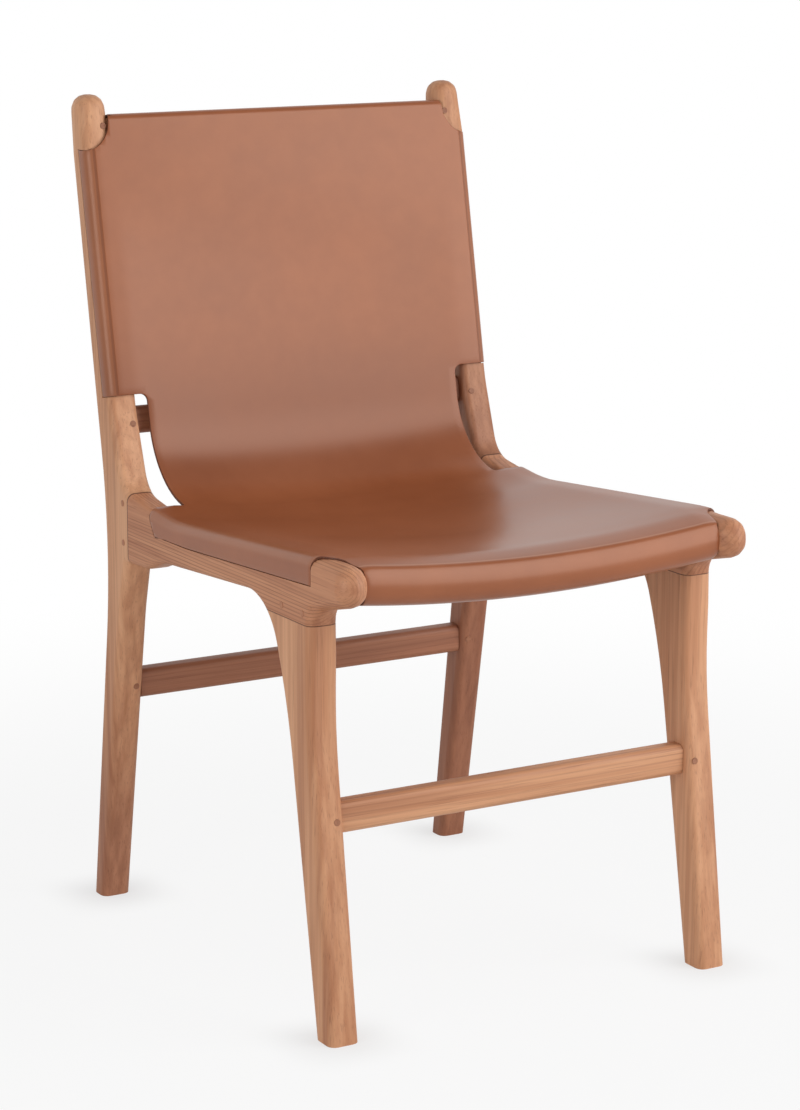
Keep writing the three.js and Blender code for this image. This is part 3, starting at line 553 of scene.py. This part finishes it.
waist_point = meeting(
    off_back(BACK_HIGH.y), off_back(BACK_LOW.y), off_seat(DIP.x), off_seat(SEAT_REAR)
)
seat_edge, roll_top = off_seat(45), Vector((20.7, 462.8))
slope = (roll_top - seat_edge) / (seat_edge.x - roll_top.x)
nose_cut = seat_edge + slope * (seat_edge.x - NOSE_CUT_SETBACK)
tape = Tape({
    "rear_hem": (*round_top_rail(BEHIND, REAR_HEM_DROP), 0),
    "rear_top": (*round_top_rail(BEHIND, 0), ROUND_RAIL),
    "front_top": (*round_top_rail(IN_FRONT, 0), ROUND_RAIL),
    "shoulder": (*off_back(833), 0),
    "rail_bottom": (*off_back(783.5), 0),
    "hem": (*off_back(555), 0),
    "waist": (*waist_point, BACK_TO_SEAT),
    "seat_rear": (*off_seat(SEAT_REAR), 0),
    "dip": (*off_seat(DIP.x), 250),
    "nose_top": (*off_seat(NOSE_TOP.x), 300),
    "seat_edge": (*seat_edge, 60),
    "nose_cut": (*nose_cut, 0),
    "roll_top": (*roll_top, 5.3),
    "roll_front": (12, 451.4, 22),
    "roll_bottom": (18.5, HEM_BELOW, 13),
    "front_hem": (49.5, HEM_BELOW, 0),
})
mark = tape.marks
print("leather:", round(tape.length), "mm long, marks:", {k: round(v) for k, v in mark.items()})

# %% [markdown]
# Between the side frames nothing holds the leather up, so it hangs a little: most in the middle of
# the seat, less at the waist, not at all where it runs over the straight top rail. The front rail
# dips too, and the leather follows it. Simulated cloth would hang as well, but thick leather keeps
# the shape that it was stretched into. So the depth halfway across is set at a few marks, with
# smooth changes between them, and towards the sides it fades like a hanging chain.

# %% How the leather hangs
INNER_FACE = 197
hanging = [
    (mark["rail_bottom"], 0),
    ((mark["rail_bottom"] + mark["hem"]) / 2, 7),
    (mark["hem"], 7),
    (mark["seat_rear"], 13),
    ((mark["seat_rear"] + mark["nose_top"]) / 2, 21),
    (mark["nose_top"], 15),
    (mark["roll_top"], 12),
]


def eased(value, low, high):
    """0 below low, 1 above high, and a smooth rise between them, for plain numbers."""
    t = min(1, max(0, (value - low) / (high - low)))
    return t * t * (3 - 2 * t)


def hang(distance):
    if distance <= hanging[0][0]:
        return 0
    for (a, deep_a), (b, deep_b) in zip(hanging, hanging[1:]):
        if distance < b:
            return deep_a + (deep_b - deep_a) * eased(distance, a, b)
    return hanging[-1][1]


# %% [markdown]
# Now the bending itself. A point of the flat sheet has a distance from its middle line and a
# distance along the tape. Near the middle line it stays on the tape. Past the frame's outer edge
# it goes round the edge in a quarter circle, and then straight down the outer face, as the flap.
# The noses are round on top, and a straight sheet would stand off them there and leave a slit.
# The saddler presses the rim of the cut-out down on the wood, and so does this cell.

# %% From the flat sheet to the chair
LEATHER = 3
OUTER_FACE = 229
WRAP_FACE = OUTER_FACE - LEATHER
WRAP_RADIUS = 8.3
WRAP_START = WRAP_FACE - WRAP_RADIUS
WRAP_END = WRAP_START + WRAP_RADIUS * QUARTER
NOSE_CUT_REAR = 62
NOSE_PRESS, PRESS_START, PRESS_FULL = 1.4, 188, 203
PAST_THE_BEND = mark["waist"] + 40


def pressed(reach, along, setback):
    """How far the rim of the cut-out is pressed down on the rounded top of the nose."""
    before_the_roll = 1 - eased(along, mark["roll_top"], mark["roll_top"] + 8)
    over_the_nose = eased(NOSE_CUT_REAR - setback, 0, 12)
    return NOSE_PRESS * eased(reach, PRESS_START, PRESS_FULL) * over_the_nose * before_the_roll


def bent(across, along):
    """Where a point of the flat sheet is on the chair, on the side on the wood, in metres."""
    side, reach = (1 if across >= 0 else -1), abs(across)
    if reach <= WRAP_START:
        x, depth = reach, 0
    elif reach <= WRAP_END:
        angle = (reach - WRAP_START) / WRAP_RADIUS
        x, depth = WRAP_START + WRAP_RADIUS * math.sin(angle), WRAP_RADIUS * (1 - math.cos(angle))
    else:
        x, depth = WRAP_FACE, WRAP_RADIUS + reach - WRAP_END
    point, outward = tape.at(along)
    down = Vector((0, -1))
    flap_way = down if along > PAST_THE_BEND else -outward
    hang_way = down if along > mark["nose_top"] else -outward
    share = max(0, 1 - (x / INNER_FACE) ** 2)
    placed = point + depth * flap_way + hang(along) * share * hang_way
    placed += pressed(reach, along, point.x) * down
    return Vector((side * x / 1000, cad_low.y + placed.x / 1000, placed.y / 1000))


# %% [markdown]
# The cut is drawn as half an outline and mirrored. Curves of the outline are arcs and parts of
# ellipses with a few points each. Where it is easier to say where an edge has to end up on the
# chair, such as along the lower edge of a flap, the point is worked back to the flat sheet. A few
# small helpers do that.

# %% Back to the flat sheet
flap_drops = ((30, 25), (NOSE_CUT_REAR, 25), (320, 20), (395, 21))
flap_edge = [(setback, rail_top(setback) - drop) for setback, drop in flap_drops]


def flap_height(setback):
    """The height of the seat flap's lower edge."""
    for (a, low_a), (b, low_b) in reversed(list(zip(flap_edge, flap_edge[1:]))):
        if setback >= a:
            return low_a + (low_b - low_a) * (setback - a) / (b - a)
    return flap_edge[0][1]


def reach_of(x):
    """How far a point at this x is from the middle line of the flat sheet."""
    if x <= WRAP_START:
        return x
    return WRAP_START + WRAP_RADIUS * math.asin(min(1, (x - WRAP_START) / WRAP_RADIUS))


def depth_at(reach):
    """How deep round the edge of the frame this part of the sheet lies."""
    if reach <= WRAP_START:
        return 0
    angle = (min(reach, WRAP_END) - WRAP_START) / WRAP_RADIUS
    return WRAP_RADIUS * (1 - math.cos(angle)) + max(0, reach - WRAP_END)


def arc(centre, radius, start, end, steps):
    """Points of an arc, its angles in degrees from the way across the sheet to the way along it."""
    angles = [math.radians(start + (end - start) * i / steps) for i in range(steps + 1)]
    return [(centre[0] + radius * math.cos(a), centre[1] + radius * math.sin(a)) for a in angles]


# %% [markdown]
# First comes the edge of the back, on one side. From the hem behind the top rail it runs straight
# up between the posts. At the head of the post the leather is cut back in a scallop, nearly a
# quarter of an ellipse, that leaves the head free. Then it is full width as far as the hem of the
# back flap, and there a round inner corner leads in to the waist.

# %% The back of the cut
BETWEEN_POSTS = 196.7
WAIST = 186.5
HEAD_MIDDLE, SCALLOP_WIDE, SCALLOP_HIGH, SCALLOP_FOOT = 840, 30, 36, 804
BACK_FLAP = 15.8
BACK_FLAP_END = WRAP_END + BACK_FLAP - WRAP_RADIUS
FLAP_CORNER, WAIST_CORNER, SEAT_CORNER = 2, 8, 3

half = [(BETWEEN_POSTS, 0), (BETWEEN_POSTS, mark["front_top"] - 3), (200.4, mark["shoulder"] - 1.5)]
for degrees in range(24, 85, 7):
    t = math.radians(degrees)
    reach = reach_of(OUTER_FACE - SCALLOP_WIDE * math.cos(t))
    height = HEAD_MIDDLE - SCALLOP_HIGH * math.sin(t) - into_the_back.y * depth_at(reach)
    half.append((reach, tape.where(1, height, "shoulder", "hem")))
scallop_foot = tape.where(1, SCALLOP_FOOT - into_the_back.y * WRAP_RADIUS, "shoulder", "hem")
half += [(WRAP_END, scallop_foot), (BACK_FLAP_END, scallop_foot - 1.4)]
half += arc((BACK_FLAP_END - FLAP_CORNER, mark["hem"] - FLAP_CORNER), FLAP_CORNER, 0, 90, 4)
half += [(WRAP_START, mark["hem"])]
half += arc((WAIST + WAIST_CORNER, mark["hem"] + WAIST_CORNER), WAIST_CORNER, 270, 180, 8)
half += arc((WAIST + SEAT_CORNER, mark["seat_rear"] - SEAT_CORNER), SEAT_CORNER, 180, 90, 4)
print("points on the back of the cut:", len(half))

# %% [markdown]
# Then comes the edge of the seat. Its flap starts behind with an edge that slants forward on its
# way down, and its lower edge follows the rail at nearly the same depth. In front of the flap the
# leather is cut out round the nose, part of an ellipse again, and goes straight on over the front
# rail, between the noses, to the hem below.

# %% The seat of the cut
FLAP_SLANT = 15
FLAP_REAR = 395
REAR_ROUNDING = 2.5
NOSE_CUT_MIDDLE, NOSE_CUT_WIDE = 10, 29.5

flap_depth = off_seat(SEAT_REAR).y - flap_height(SEAT_REAR)
for share in (0, 0.25, 0.5, 0.75, 1):
    reach = WRAP_START + share * (WRAP_END - WRAP_START)
    half.append((reach, mark["seat_rear"] + FLAP_SLANT * depth_at(reach) / flap_depth))
flap_rear = tape.where(0, FLAP_REAR, "seat_rear", "nose_cut")
flap_front = tape.where(0, NOSE_CUT_REAR, "seat_rear", "nose_cut")
flap_end = WRAP_END + flap_depth - WRAP_RADIUS
half += arc((flap_end - REAR_ROUNDING, flap_rear + REAR_ROUNDING), REAR_ROUNDING, 300, 360, 3)
for step in range(1, 15):
    along = flap_rear + (flap_front - 0.6 - flap_rear) * step / 14
    point = tape.at(along)[0]
    half.append((WRAP_END + point.y - flap_height(point.x) - WRAP_RADIUS, along))
half += [(half[-1][0] - 0.8, flap_front), (WRAP_END, flap_front)]
for degrees in range(84, 33, -10):
    t = math.radians(degrees)
    reach = reach_of(OUTER_FACE - NOSE_CUT_WIDE * math.cos(t))
    setback = NOSE_CUT_MIDDLE + (NOSE_CUT_REAR - NOSE_CUT_MIDDLE) * math.sin(t)
    half.append((reach, tape.where(0, setback, "seat_rear", "nose_cut")))
half += [(203.5, mark["nose_cut"]), (202, mark["roll_top"] - 3), (198.5, mark["roll_top"] + 5)]
half += [(198, mark["roll_bottom"]), (BETWEEN_POSTS, mark["roll_bottom"] + 10)]
half += [(BETWEEN_POSTS, tape.length)]
print("points on one side of the whole cut:", len(half))

# %% [markdown]
# The edge on the other side is the mirror image. The area inside comes from the corners, by the
# same sum that a surveyor uses for a field.

# %% The whole cut and its size
outline = half + [(-w, s) for w, s in reversed(half)]
sides = list(zip(outline, outline[1:] + outline[:1]))
cut_area = abs(sum(a[0] * b[1] - b[0] * a[1] for a, b in sides)) / 2
cut_width = 2 * max(w for w, _ in outline)
print("cut:", round(cut_width), "x", round(tape.length), "mm,", len(outline), "points,",
      round(cut_area / 1e6, 4), "m2")

# %% [markdown]
# One face with a corner at every point of the outline can't bend. So it is cut across and along by
# many planes, close together where the leather turns sharply, which leaves small squares that
# follow the outline at the rim. A grid that is trimmed to the outline would do too, but it is
# harder to trim well than a sheet is to slice.

# %% Cutting the flat piece into squares
TURN_STEP = 0.22
LAST_CUT = 245

bm = bmesh.new()
corners = [bm.verts.new((w / 1000, s / 1000, 0)) for w, s in outline]
bm.faces.new(corners)


def slices(low, high, step):
    count = max(1, math.ceil((high - low) / step))
    return [round(low + (high - low) * i / count, 4) for i in range(count + 1)]


def cut_at(axis, value):
    place, way = Vector((0, 0, 0)), Vector((0, 0, 0))
    place[axis], way[axis] = value / 1000, 1
    everything = bm.verts[:] + bm.edges[:] + bm.faces[:]
    bmesh.ops.bisect_plane(bm, geom=everything, dist=0.0002, plane_co=place, plane_no=way)


across_cuts, along_cuts = set(), set()
bands = [(0, WAIST, 9), (WAIST, WRAP_START, 7), (WRAP_START, WRAP_END, 1.7)]
for low, high, step in bands + [(WRAP_END, LAST_CUT, 5)]:
    across_cuts.update(slices(low, high, step))
ends = [begin for begin, *_ in tape.stretches[1:]] + [tape.length]
for (begin, _, _, bend), end in zip(tape.stretches, ends):
    step = 9 if abs(bend) < STRAIGHT else min(8, TURN_STEP / abs(bend))
    along_cuts.update(slices(begin, end, step))
for value in sorted({v for w in across_cuts for v in (w, -w)}):
    cut_at(0, value)
for value in sorted(along_cuts)[1:-1]:
    cut_at(1, value)
print("flat squares:", len(bm.faces), "area", round(sum(f.calc_area() for f in bm.faces), 4), "m2")

# %% [markdown]
# The flat places are kept as the UV map, because the grain of leather follows the hide, not the
# chair. Then every corner goes to its place on the chair. If the faces of the seat look down after
# that, the whole sheet is turned over.

# %% Marking and bending the leather
MIDDLE_LINE = 0.25

flat_places = bm.loops.layers.uv.new("Flat")
for face in bm.faces:
    face.smooth = True
    for loop in face.loops:
        loop[flat_places].uv = (loop.vert.co.x + MIDDLE_LINE, loop.vert.co.y)
for vert in bm.verts:
    vert.co = bent(vert.co.x * 1000, vert.co.y * 1000)
bm.normal_update()
over_the_seat = Vector((0, 0, 0.45))
middle = min(bm.faces, key=lambda f: (f.calc_center_median() - over_the_seat).length)
if middle.normal.z < 0:
    bmesh.ops.reverse_faces(bm, faces=bm.faces)
hide = mesh_of(bm, "leather_sling_hide")
leather = put("leather_sling_hide", hide)
print("hide:", len(hide.polygons), "faces")

# %% [markdown]
# The hide now has its form but no thickness. A Solidify modifier gives it three millimetres on the
# sitter's side. The polished grain side has the first material. The modifier puts a second one on
# the rough flesh side, and a third on the cut rim, which is burnished dark and painted darker still
# as painted shade along the cut edges. A small bevel takes the sharpness off the rim, as an edge
# tool does.

# %% Thickness
FLESH_SIDE, CUT_RIM = 1, 2

thick = leather.modifiers.new("Thickness", "SOLIDIFY")
thick.thickness = LEATHER / 1000
thick.offset = 1
thick.use_even_offset = True
thick.material_offset = FLESH_SIDE
thick.material_offset_rim = CUT_RIM
soften = leather.modifiers.new("Soft edges", "BEVEL")
soften.width = 0.0005
soften.segments = 2
soften.limit_method = "ANGLE"
soften.angle_limit = math.radians(50)
soften.use_clamp_overlap = False
soften.harden_normals = False
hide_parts("leather_sling")
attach(leather, "root")
cut_width / 1000
cut_area / 1e6
print("sheet:", LEATHER, "mm thick")

# %% [markdown]
# Vegetable-tanned saddle leather is smooth and even, with a warm shine. Close to, it has fine
# pores, and over a hand's breadth its brown drifts a little lighter and darker. Where it is bent
# round the frame a pale band is painted along the corner: a painted highlight. The fold over the
# front roll has a pale line that is partly wear and partly painted highlight. Low on the back and
# at the waist, where back meets seat, it is painted darker: painted shade. A saddler's crease, a
# shallow pressed line, runs down each side of the back before the edge, and its dark is painted
# shade in the groove.
# The shine could be a clear coat, but a coat mirrors white. Waxed leather tints what it mirrors,
# so the shine is made strong and given a warm tint.

# %% Saddle leather
CREASE = 0.2195
CREASE_END = mark["hem"] / 1000
EDGE_HIGHLIGHT = (0.2175, 0.2215), (0.2275, 0.2320)
WAIST_SHADE = (0.26, 0.36), (0.40, 0.47)
PRESSED_LINE, FOLD_HIGHLIGHT = (0.0004, 0.0016), (0.0003, 0.0016)


def saddle_leather():
    finish = Finish("saddle_leather")
    place = finish.add("UVMap", {"uv_map": "Flat"})
    parts = finish.add("SeparateXYZ", {}, {0: place})
    across, along = abs(parts - MIDDLE_LINE), parts.beside(1)
    clouds = finish.noise(place, scale=7, detail=4, roughness=0.55)
    drift = finish.noise(place, scale=46, detail=3)
    cells = {"Vector": place, "Scale": 620, "Smoothness": 0.6}
    grain = finish.add("TexVoronoi", {"feature": "SMOOTH_F1"}, cells)
    pores = finish.noise(place, scale=1500, detail=2)

    tone = clouds.rise(0.25, 0.75) * 0.7 + drift.rise(0.2, 0.8) * 0.3
    ground = finish.mix(tone, paint(147, 82, 48), paint(163, 95, 59))
    # painted shade: darker low on the back and at the waist, where back and seat meet
    waist_shade = along.rise(*WAIST_SHADE[0]) * (1 - along.rise(*WAIST_SHADE[1]))
    waist_shaded = finish.mix(waist_shade * 0.45, ground, paint(120, 62, 36))
    # painted highlight: a pale band along the rounded corner where the leather bends round the
    # frame
    edge_highlight = across.rise(*EDGE_HIGHLIGHT[0]) * (1 - across.rise(*EDGE_HIGHLIGHT[1]))
    edge_lit = finish.mix(edge_highlight * 0.16, waist_shaded, paint(196, 142, 112))
    pressed_line = 1 - abs(across - CREASE).rise(*PRESSED_LINE)
    creased = pressed_line * (1 - along.rise(CREASE_END - 0.001, CREASE_END))
    # painted shade: the pressed crease is a real groove in the bump, and its dark colour is painted
    # shade in it
    lined = finish.mix(creased * 0.55, edge_lit, paint(110, 60, 38))
    # partly wear, partly painted highlight: a pale line along the fold over the front roll
    fold = 1 - abs(along - mark["roll_top"] / 1000).rise(*FOLD_HIGHLIGHT)
    with_fold_highlight = finish.mix(fold * 0.2, lined, paint(222, 176, 150))
    speckled = finish.mix(pores.rise(0.6, 0.8) * 0.10, with_fold_highlight, paint(104, 58, 36))

    relief = grain * 0.5 + pores * 0.3 - creased * 6
    bump = finish.bumps(relief, strength=0.30, depth=0.00012)
    finish.dress(Base_Color=speckled, Roughness=0.30 + tone * 0.05 + creased * 0.1, Normal=bump)
    finish.dress(Specular_IOR_Level=0.7, Specular_Tint=paint(255, 228, 212))
    return finish.material


# %% [markdown]
# The flesh side is the inside of the hide, dull and fibrous. It shows from behind and from below.
# The cut rim shows both, pressed hard together and burnished dark with wax, and its brown is
# painted darker still, as painted shade along the cut edges. It has no place of its own on the flat
# hide, so its noise is read in space.

# %% Flesh side and cut rim
def flesh_side():
    finish = Finish("leather_flesh_side")
    place = finish.add("UVMap", {"uv_map": "Flat"})
    fibres = finish.noise(place, scale=420, detail=6, roughness=0.7)
    clouds = finish.noise(place, scale=12, detail=4)
    tone = fibres.rise(0.3, 0.7) * 0.5 + clouds.rise(0.3, 0.7) * 0.5
    ground = finish.mix(tone, paint(140, 88, 58), paint(172, 118, 84))
    bump = finish.bumps(fibres, strength=0.5, depth=0.0004)
    finish.dress(Base_Color=ground, Roughness=0.85 + fibres * 0.1, Normal=bump)
    return finish.material


def burnished_shaded_edge():
    finish = Finish("leather_burnished_edge")
    place = finish.add("TexCoord", output="Object")
    layers = finish.noise(place, scale=900, detail=3)
    # partly the dark of burnished leather, partly painted shade along the cut edges
    ground = finish.mix(layers.rise(0.3, 0.7), paint(88, 48, 31), paint(122, 70, 46))
    bump = finish.bumps(layers, strength=0.25, depth=0.0002)
    finish.dress(Base_Color=ground, Roughness=0.42 + layers * 0.15, Normal=bump)
    return finish.material


for material in (saddle_leather(), flesh_side(), burnished_shaded_edge()):
    hide.materials.append(material)
print("leather materials:", [m.name for m in hide.materials])

# %% [markdown]
# The two hems that nobody sees, behind the top rail and under the front rail, are held by rows of
# small tacks. A tack's head is a flat dome: a sphere cut above its middle and pressed flat, with a
# rim turned under. A flat disc would be quicker, but it would catch no light.

# %% One tack
TACK_RADIUS, TACK_RISE, TACK_RIM = 0.0036, 0.0012, 0.0007


def tack(bm, place, way):
    made = bmesh.ops.create_uvsphere(bm, u_segments=12, v_segments=8, radius=TACK_RADIUS)["verts"]
    below = [v for v in made if v.co.z < -0.0001]
    bmesh.ops.delete(bm, geom=below, context="VERTS")
    head = [v for v in made if v.is_valid]
    rim = dict.fromkeys(e for v in head for e in v.link_edges if e.is_boundary)
    under = bmesh.ops.extrude_edge_only(bm, edges=list(rim))["geom"]
    lip = [v for v in under if isinstance(v, bmesh.types.BMVert)]
    bmesh.ops.translate(bm, verts=lip, vec=(0, 0, -TACK_RIM))
    bmesh.ops.contextual_create(bm, geom=lip)
    whole = head + lip
    bmesh.ops.scale(bm, verts=head, vec=(1, 1, TACK_RISE / TACK_RADIUS))
    turn = Vector((0, 0, 1)).rotation_difference(way).to_matrix()
    bmesh.ops.rotate(bm, verts=whole, matrix=turn)
    bmesh.ops.translate(bm, verts=whole, vec=place)


# %% [markdown]
# Each tack stands on the leather and looks away from the wood: back from the rear hem, and down
# from the one below. The way out is found from the bending itself, by taking one small step across
# the sheet and one along it. The operators list a tack's faces in another order each run. So the
# faces are sorted by their corners, and the script gives the same mesh every time.

# %% Two rows of tacks
LAST_TACK, TACK_STEP = 168, 42
TACK_STAND = 0.0034
rows = ((12, Vector((0, 1, 0))), (tape.length - 4.5, Vector((0, 0, -1))))

bm = bmesh.new()
for along, outside in rows:
    for across in range(-LAST_TACK, LAST_TACK + 1, TACK_STEP):
        here, aside, ahead = bent(across, along), bent(across + 1, along), bent(across, along + 1)
        way = (aside - here).cross(ahead - here).normalized()
        if way.dot(outside) < 0:
            way.negate()
        tack(bm, here + TACK_STAND * way, way)
bmesh.ops.recalc_face_normals(bm, faces=bm.faces)
bm.verts.index_update()
by_corners = sorted(bm.faces, key=lambda face: sorted(v.index for v in face.verts))
for number, face in enumerate(by_corners):
    face.index = number
    face.smooth = True
bm.faces.sort()
tack_mesh = mesh_of(bm, "hem_tacks")
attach(put("hem_tacks", tack_mesh), "root")
print("tacks:", len(tack_mesh.polygons), "faces")

# %% [markdown]
# The tacks are of blued iron, stained where wax and leather have touched it.

# %% Tack iron
iron = Finish("tack_iron")
place = iron.add("TexCoord", output="Object")
stains = iron.noise(place, scale=700, detail=3)
ground = iron.mix(stains.rise(0.35, 0.7), paint(96, 82, 66), paint(58, 46, 38))
iron.dress(Base_Color=ground, Metallic=1.0, Roughness=0.38 + stains * 0.25)
tack_mesh.materials.append(iron.material)
print("tack finish:", iron.material.name)

# %% [markdown]
# The chair was photographed in a white studio. The floor is pale and wide, and only its shadow
# tells it from the backdrop. It is one round face, so wide that its edge is never seen, painted
# matt grey for the light that it throws back on the chair.

# %% The floor
FLOOR_RADIUS = 30

bm = bmesh.new()
bmesh.ops.create_circle(bm, cap_ends=True, segments=64, radius=FLOOR_RADIUS)
floor_mesh = mesh_of(bm, "studio_floor")
put("studio_floor", floor_mesh)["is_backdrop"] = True

studio = Finish("studio_floor")
place = studio.add("TexCoord", output="Object")
speck = studio.noise(place, scale=30, detail=2)
grey = studio.mix(speck, paint(212, 212, 212), paint(218, 218, 218))
studio.dress(Base_Color=grey, Roughness=0.9, Specular_IOR_Level=0)
print("floor:", 2 * FLOOR_RADIUS, "m wide")

# %% [markdown]
# In the photograph the floor is almost white. Lamps that made it so would burn out the chair. So
# its look for the camera is mostly plain white, mixed with a little of the real shading: soft
# shadows stay under the chair and fade to white further out. Round each foot more of the real
# shading is let through, because a foot that casts no dark spot seems to float. That spot is
# partly real shadow and partly painted shadow, as the floor's grey shows there even where no
# shadow falls.

# %% The floor as the camera sees it
FOOT_ASIDE, FOOT_MIDDLE, FOOT_REACH, FOOT_SHADOW_REACH = 0.213, 0.0035, 0.2535, 0.08
WHITE_SHARE, WHITER_FAR_OUT, FOOT_SHADOW_SHARE = 0.88, 0.12, 0.22

distance = studio.add("VectorMath", {"operation": "LENGTH"}, {0: place}, output="Value")
aside = studio.add("SeparateXYZ", {}, {0: place})
# Partly painted shadow: round each foot less white is mixed in, so the floor's grey shows as a dark
# spot there even where no shadow falls.
beside_foot = 1 - abs(abs(aside) - FOOT_ASIDE).rise(0, FOOT_SHADOW_REACH)
before_foot = 1 - abs(abs(aside.beside(1) - FOOT_MIDDLE) - FOOT_REACH).rise(0, FOOT_SHADOW_REACH)
seen = studio.add("LightPath", output="Is Camera Ray")
mirrored, through = seen.beside("Is Glossy Ray"), seen.beside("Is Transmission Ray")
looked_at = seen.greater_of(mirrored * 0.7).greater_of(through)
far_out = distance.rise(0.5, 1.6) * WHITER_FAR_OUT
share = looked_at * (far_out + WHITE_SHARE - beside_foot * before_foot * FOOT_SHADOW_SHARE)

white = studio.add("Emission", {}, {"Color": (1, 1, 1, 1), "Strength": 1})
surface = Wire(studio, studio.shader.outputs[0])
mixed = studio.add("MixShader", {}, {0: share, 1: surface, 2: white})
studio.feed(studio.tree.nodes["Material Output"].inputs["Surface"], mixed)
floor_mesh.materials.append(studio.material)
print("feet stand", 2 * FOOT_ASIDE, "m apart")

# %% [markdown]
# White walls all round fill the shadows. The camera sees them as plain white. What the leather
# mirrors is another matter: behind the chair stands the bright backdrop, and it shines on the
# right half of the seat, but in front of it the studio is dim. If the walls were equally bright
# all round, the back of the chair would lie under a milky veil.

# %% The walls
FILL, FILL_LOST_ABOVE = 0.50, 0.14
DIM_FRONT = 0.15

walls = Finish("studio_walls", of_world=True)
bpy.context.scene.world = walls.material
way = walls.add("TexCoord", output="Generated")
behind = walls.add("SeparateXYZ", {}, {0: way}, output=1)
lighting = FILL - behind.beside(2).rise(0.15, 0.85) * FILL_LOST_ABOVE
shining = DIM_FRONT + behind.rise(0.0, 0.5) * (1 - DIM_FRONT)
seen = walls.add("LightPath", output="Is Camera Ray")
mirrored = seen.beside("Is Glossy Ray") * shining
walls.dress(Color=(1, 1, 1, 1), Strength=lighting.greater_of(seen).greater_of(mirrored))
print("walls:", walls.material.name)

# %% [markdown]
# Two softboxes stand before these walls. The tall one at the right front gives the chair its form:
# it lights the fronts of the posts and draws the long shine on the leather. The weaker one at the
# left keeps the outer face of the near frame from going grey. Both are large, so that their
# shadows are soft.

# %% Softboxes
def softbox(name, place, aim, width, height, power):
    data = bpy.data.lights.new(name, "AREA")
    data.shape = "RECTANGLE"
    data.size, data.size_y = width, height
    data.energy = power
    lamp = put(name, data)
    lamp.location = place
    lamp.rotation_mode = "QUATERNION"
    lamp.rotation_quaternion = (Vector(aim) - Vector(place)).to_track_quat("-Z", "Y")
    return lamp


seat_height = (0, 0, 0.45)
lamps = [
    softbox("right_window", (1.6, -1.8, 1.4), seat_height, width=1.9, height=2.6, power=47),
    softbox("left_front", (-2.4, -1.0, 1.0), seat_height, width=1.4, height=1.8, power=18),
]
print("lamps:", [lamp.name for lamp in lamps])

# %% [markdown]
# The camera stands at the left front, a little above the head of the chair, three metres away
# behind a long lens. Its place was worked out from points of the chair whose sizes are known from
# the drawing.

# %% The camera
lens = bpy.data.cameras.new("photo_view")
lens.lens = 100.82
lens.sensor_width = 36
camera = put("photo_view", lens)
camera.location = (-1.5571, -2.6920, 1.0947)
aim = Vector((-0.04735, -0.0827, 0.4225))
camera.rotation_mode = "QUATERNION"
camera.rotation_quaternion = (aim - camera.location).to_track_quat("-Z", "Y")
bpy.context.scene.camera = camera
bpy.context.scene.view_settings.view_transform = "Standard"
print("camera:", round((aim - camera.location).length, 2), "m from the middle of the chair")

# %% [markdown]
# Last, the size of the dressed chair is printed beside the size of the plain solids.

# %% Size
bpy.context.view_layer.update()
low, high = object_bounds()
print("solids:", [round(v, 4) for v in (*cad_low, *cad_high)])
print("dressed:", [round(v, 4) for v in (*low, *high)])
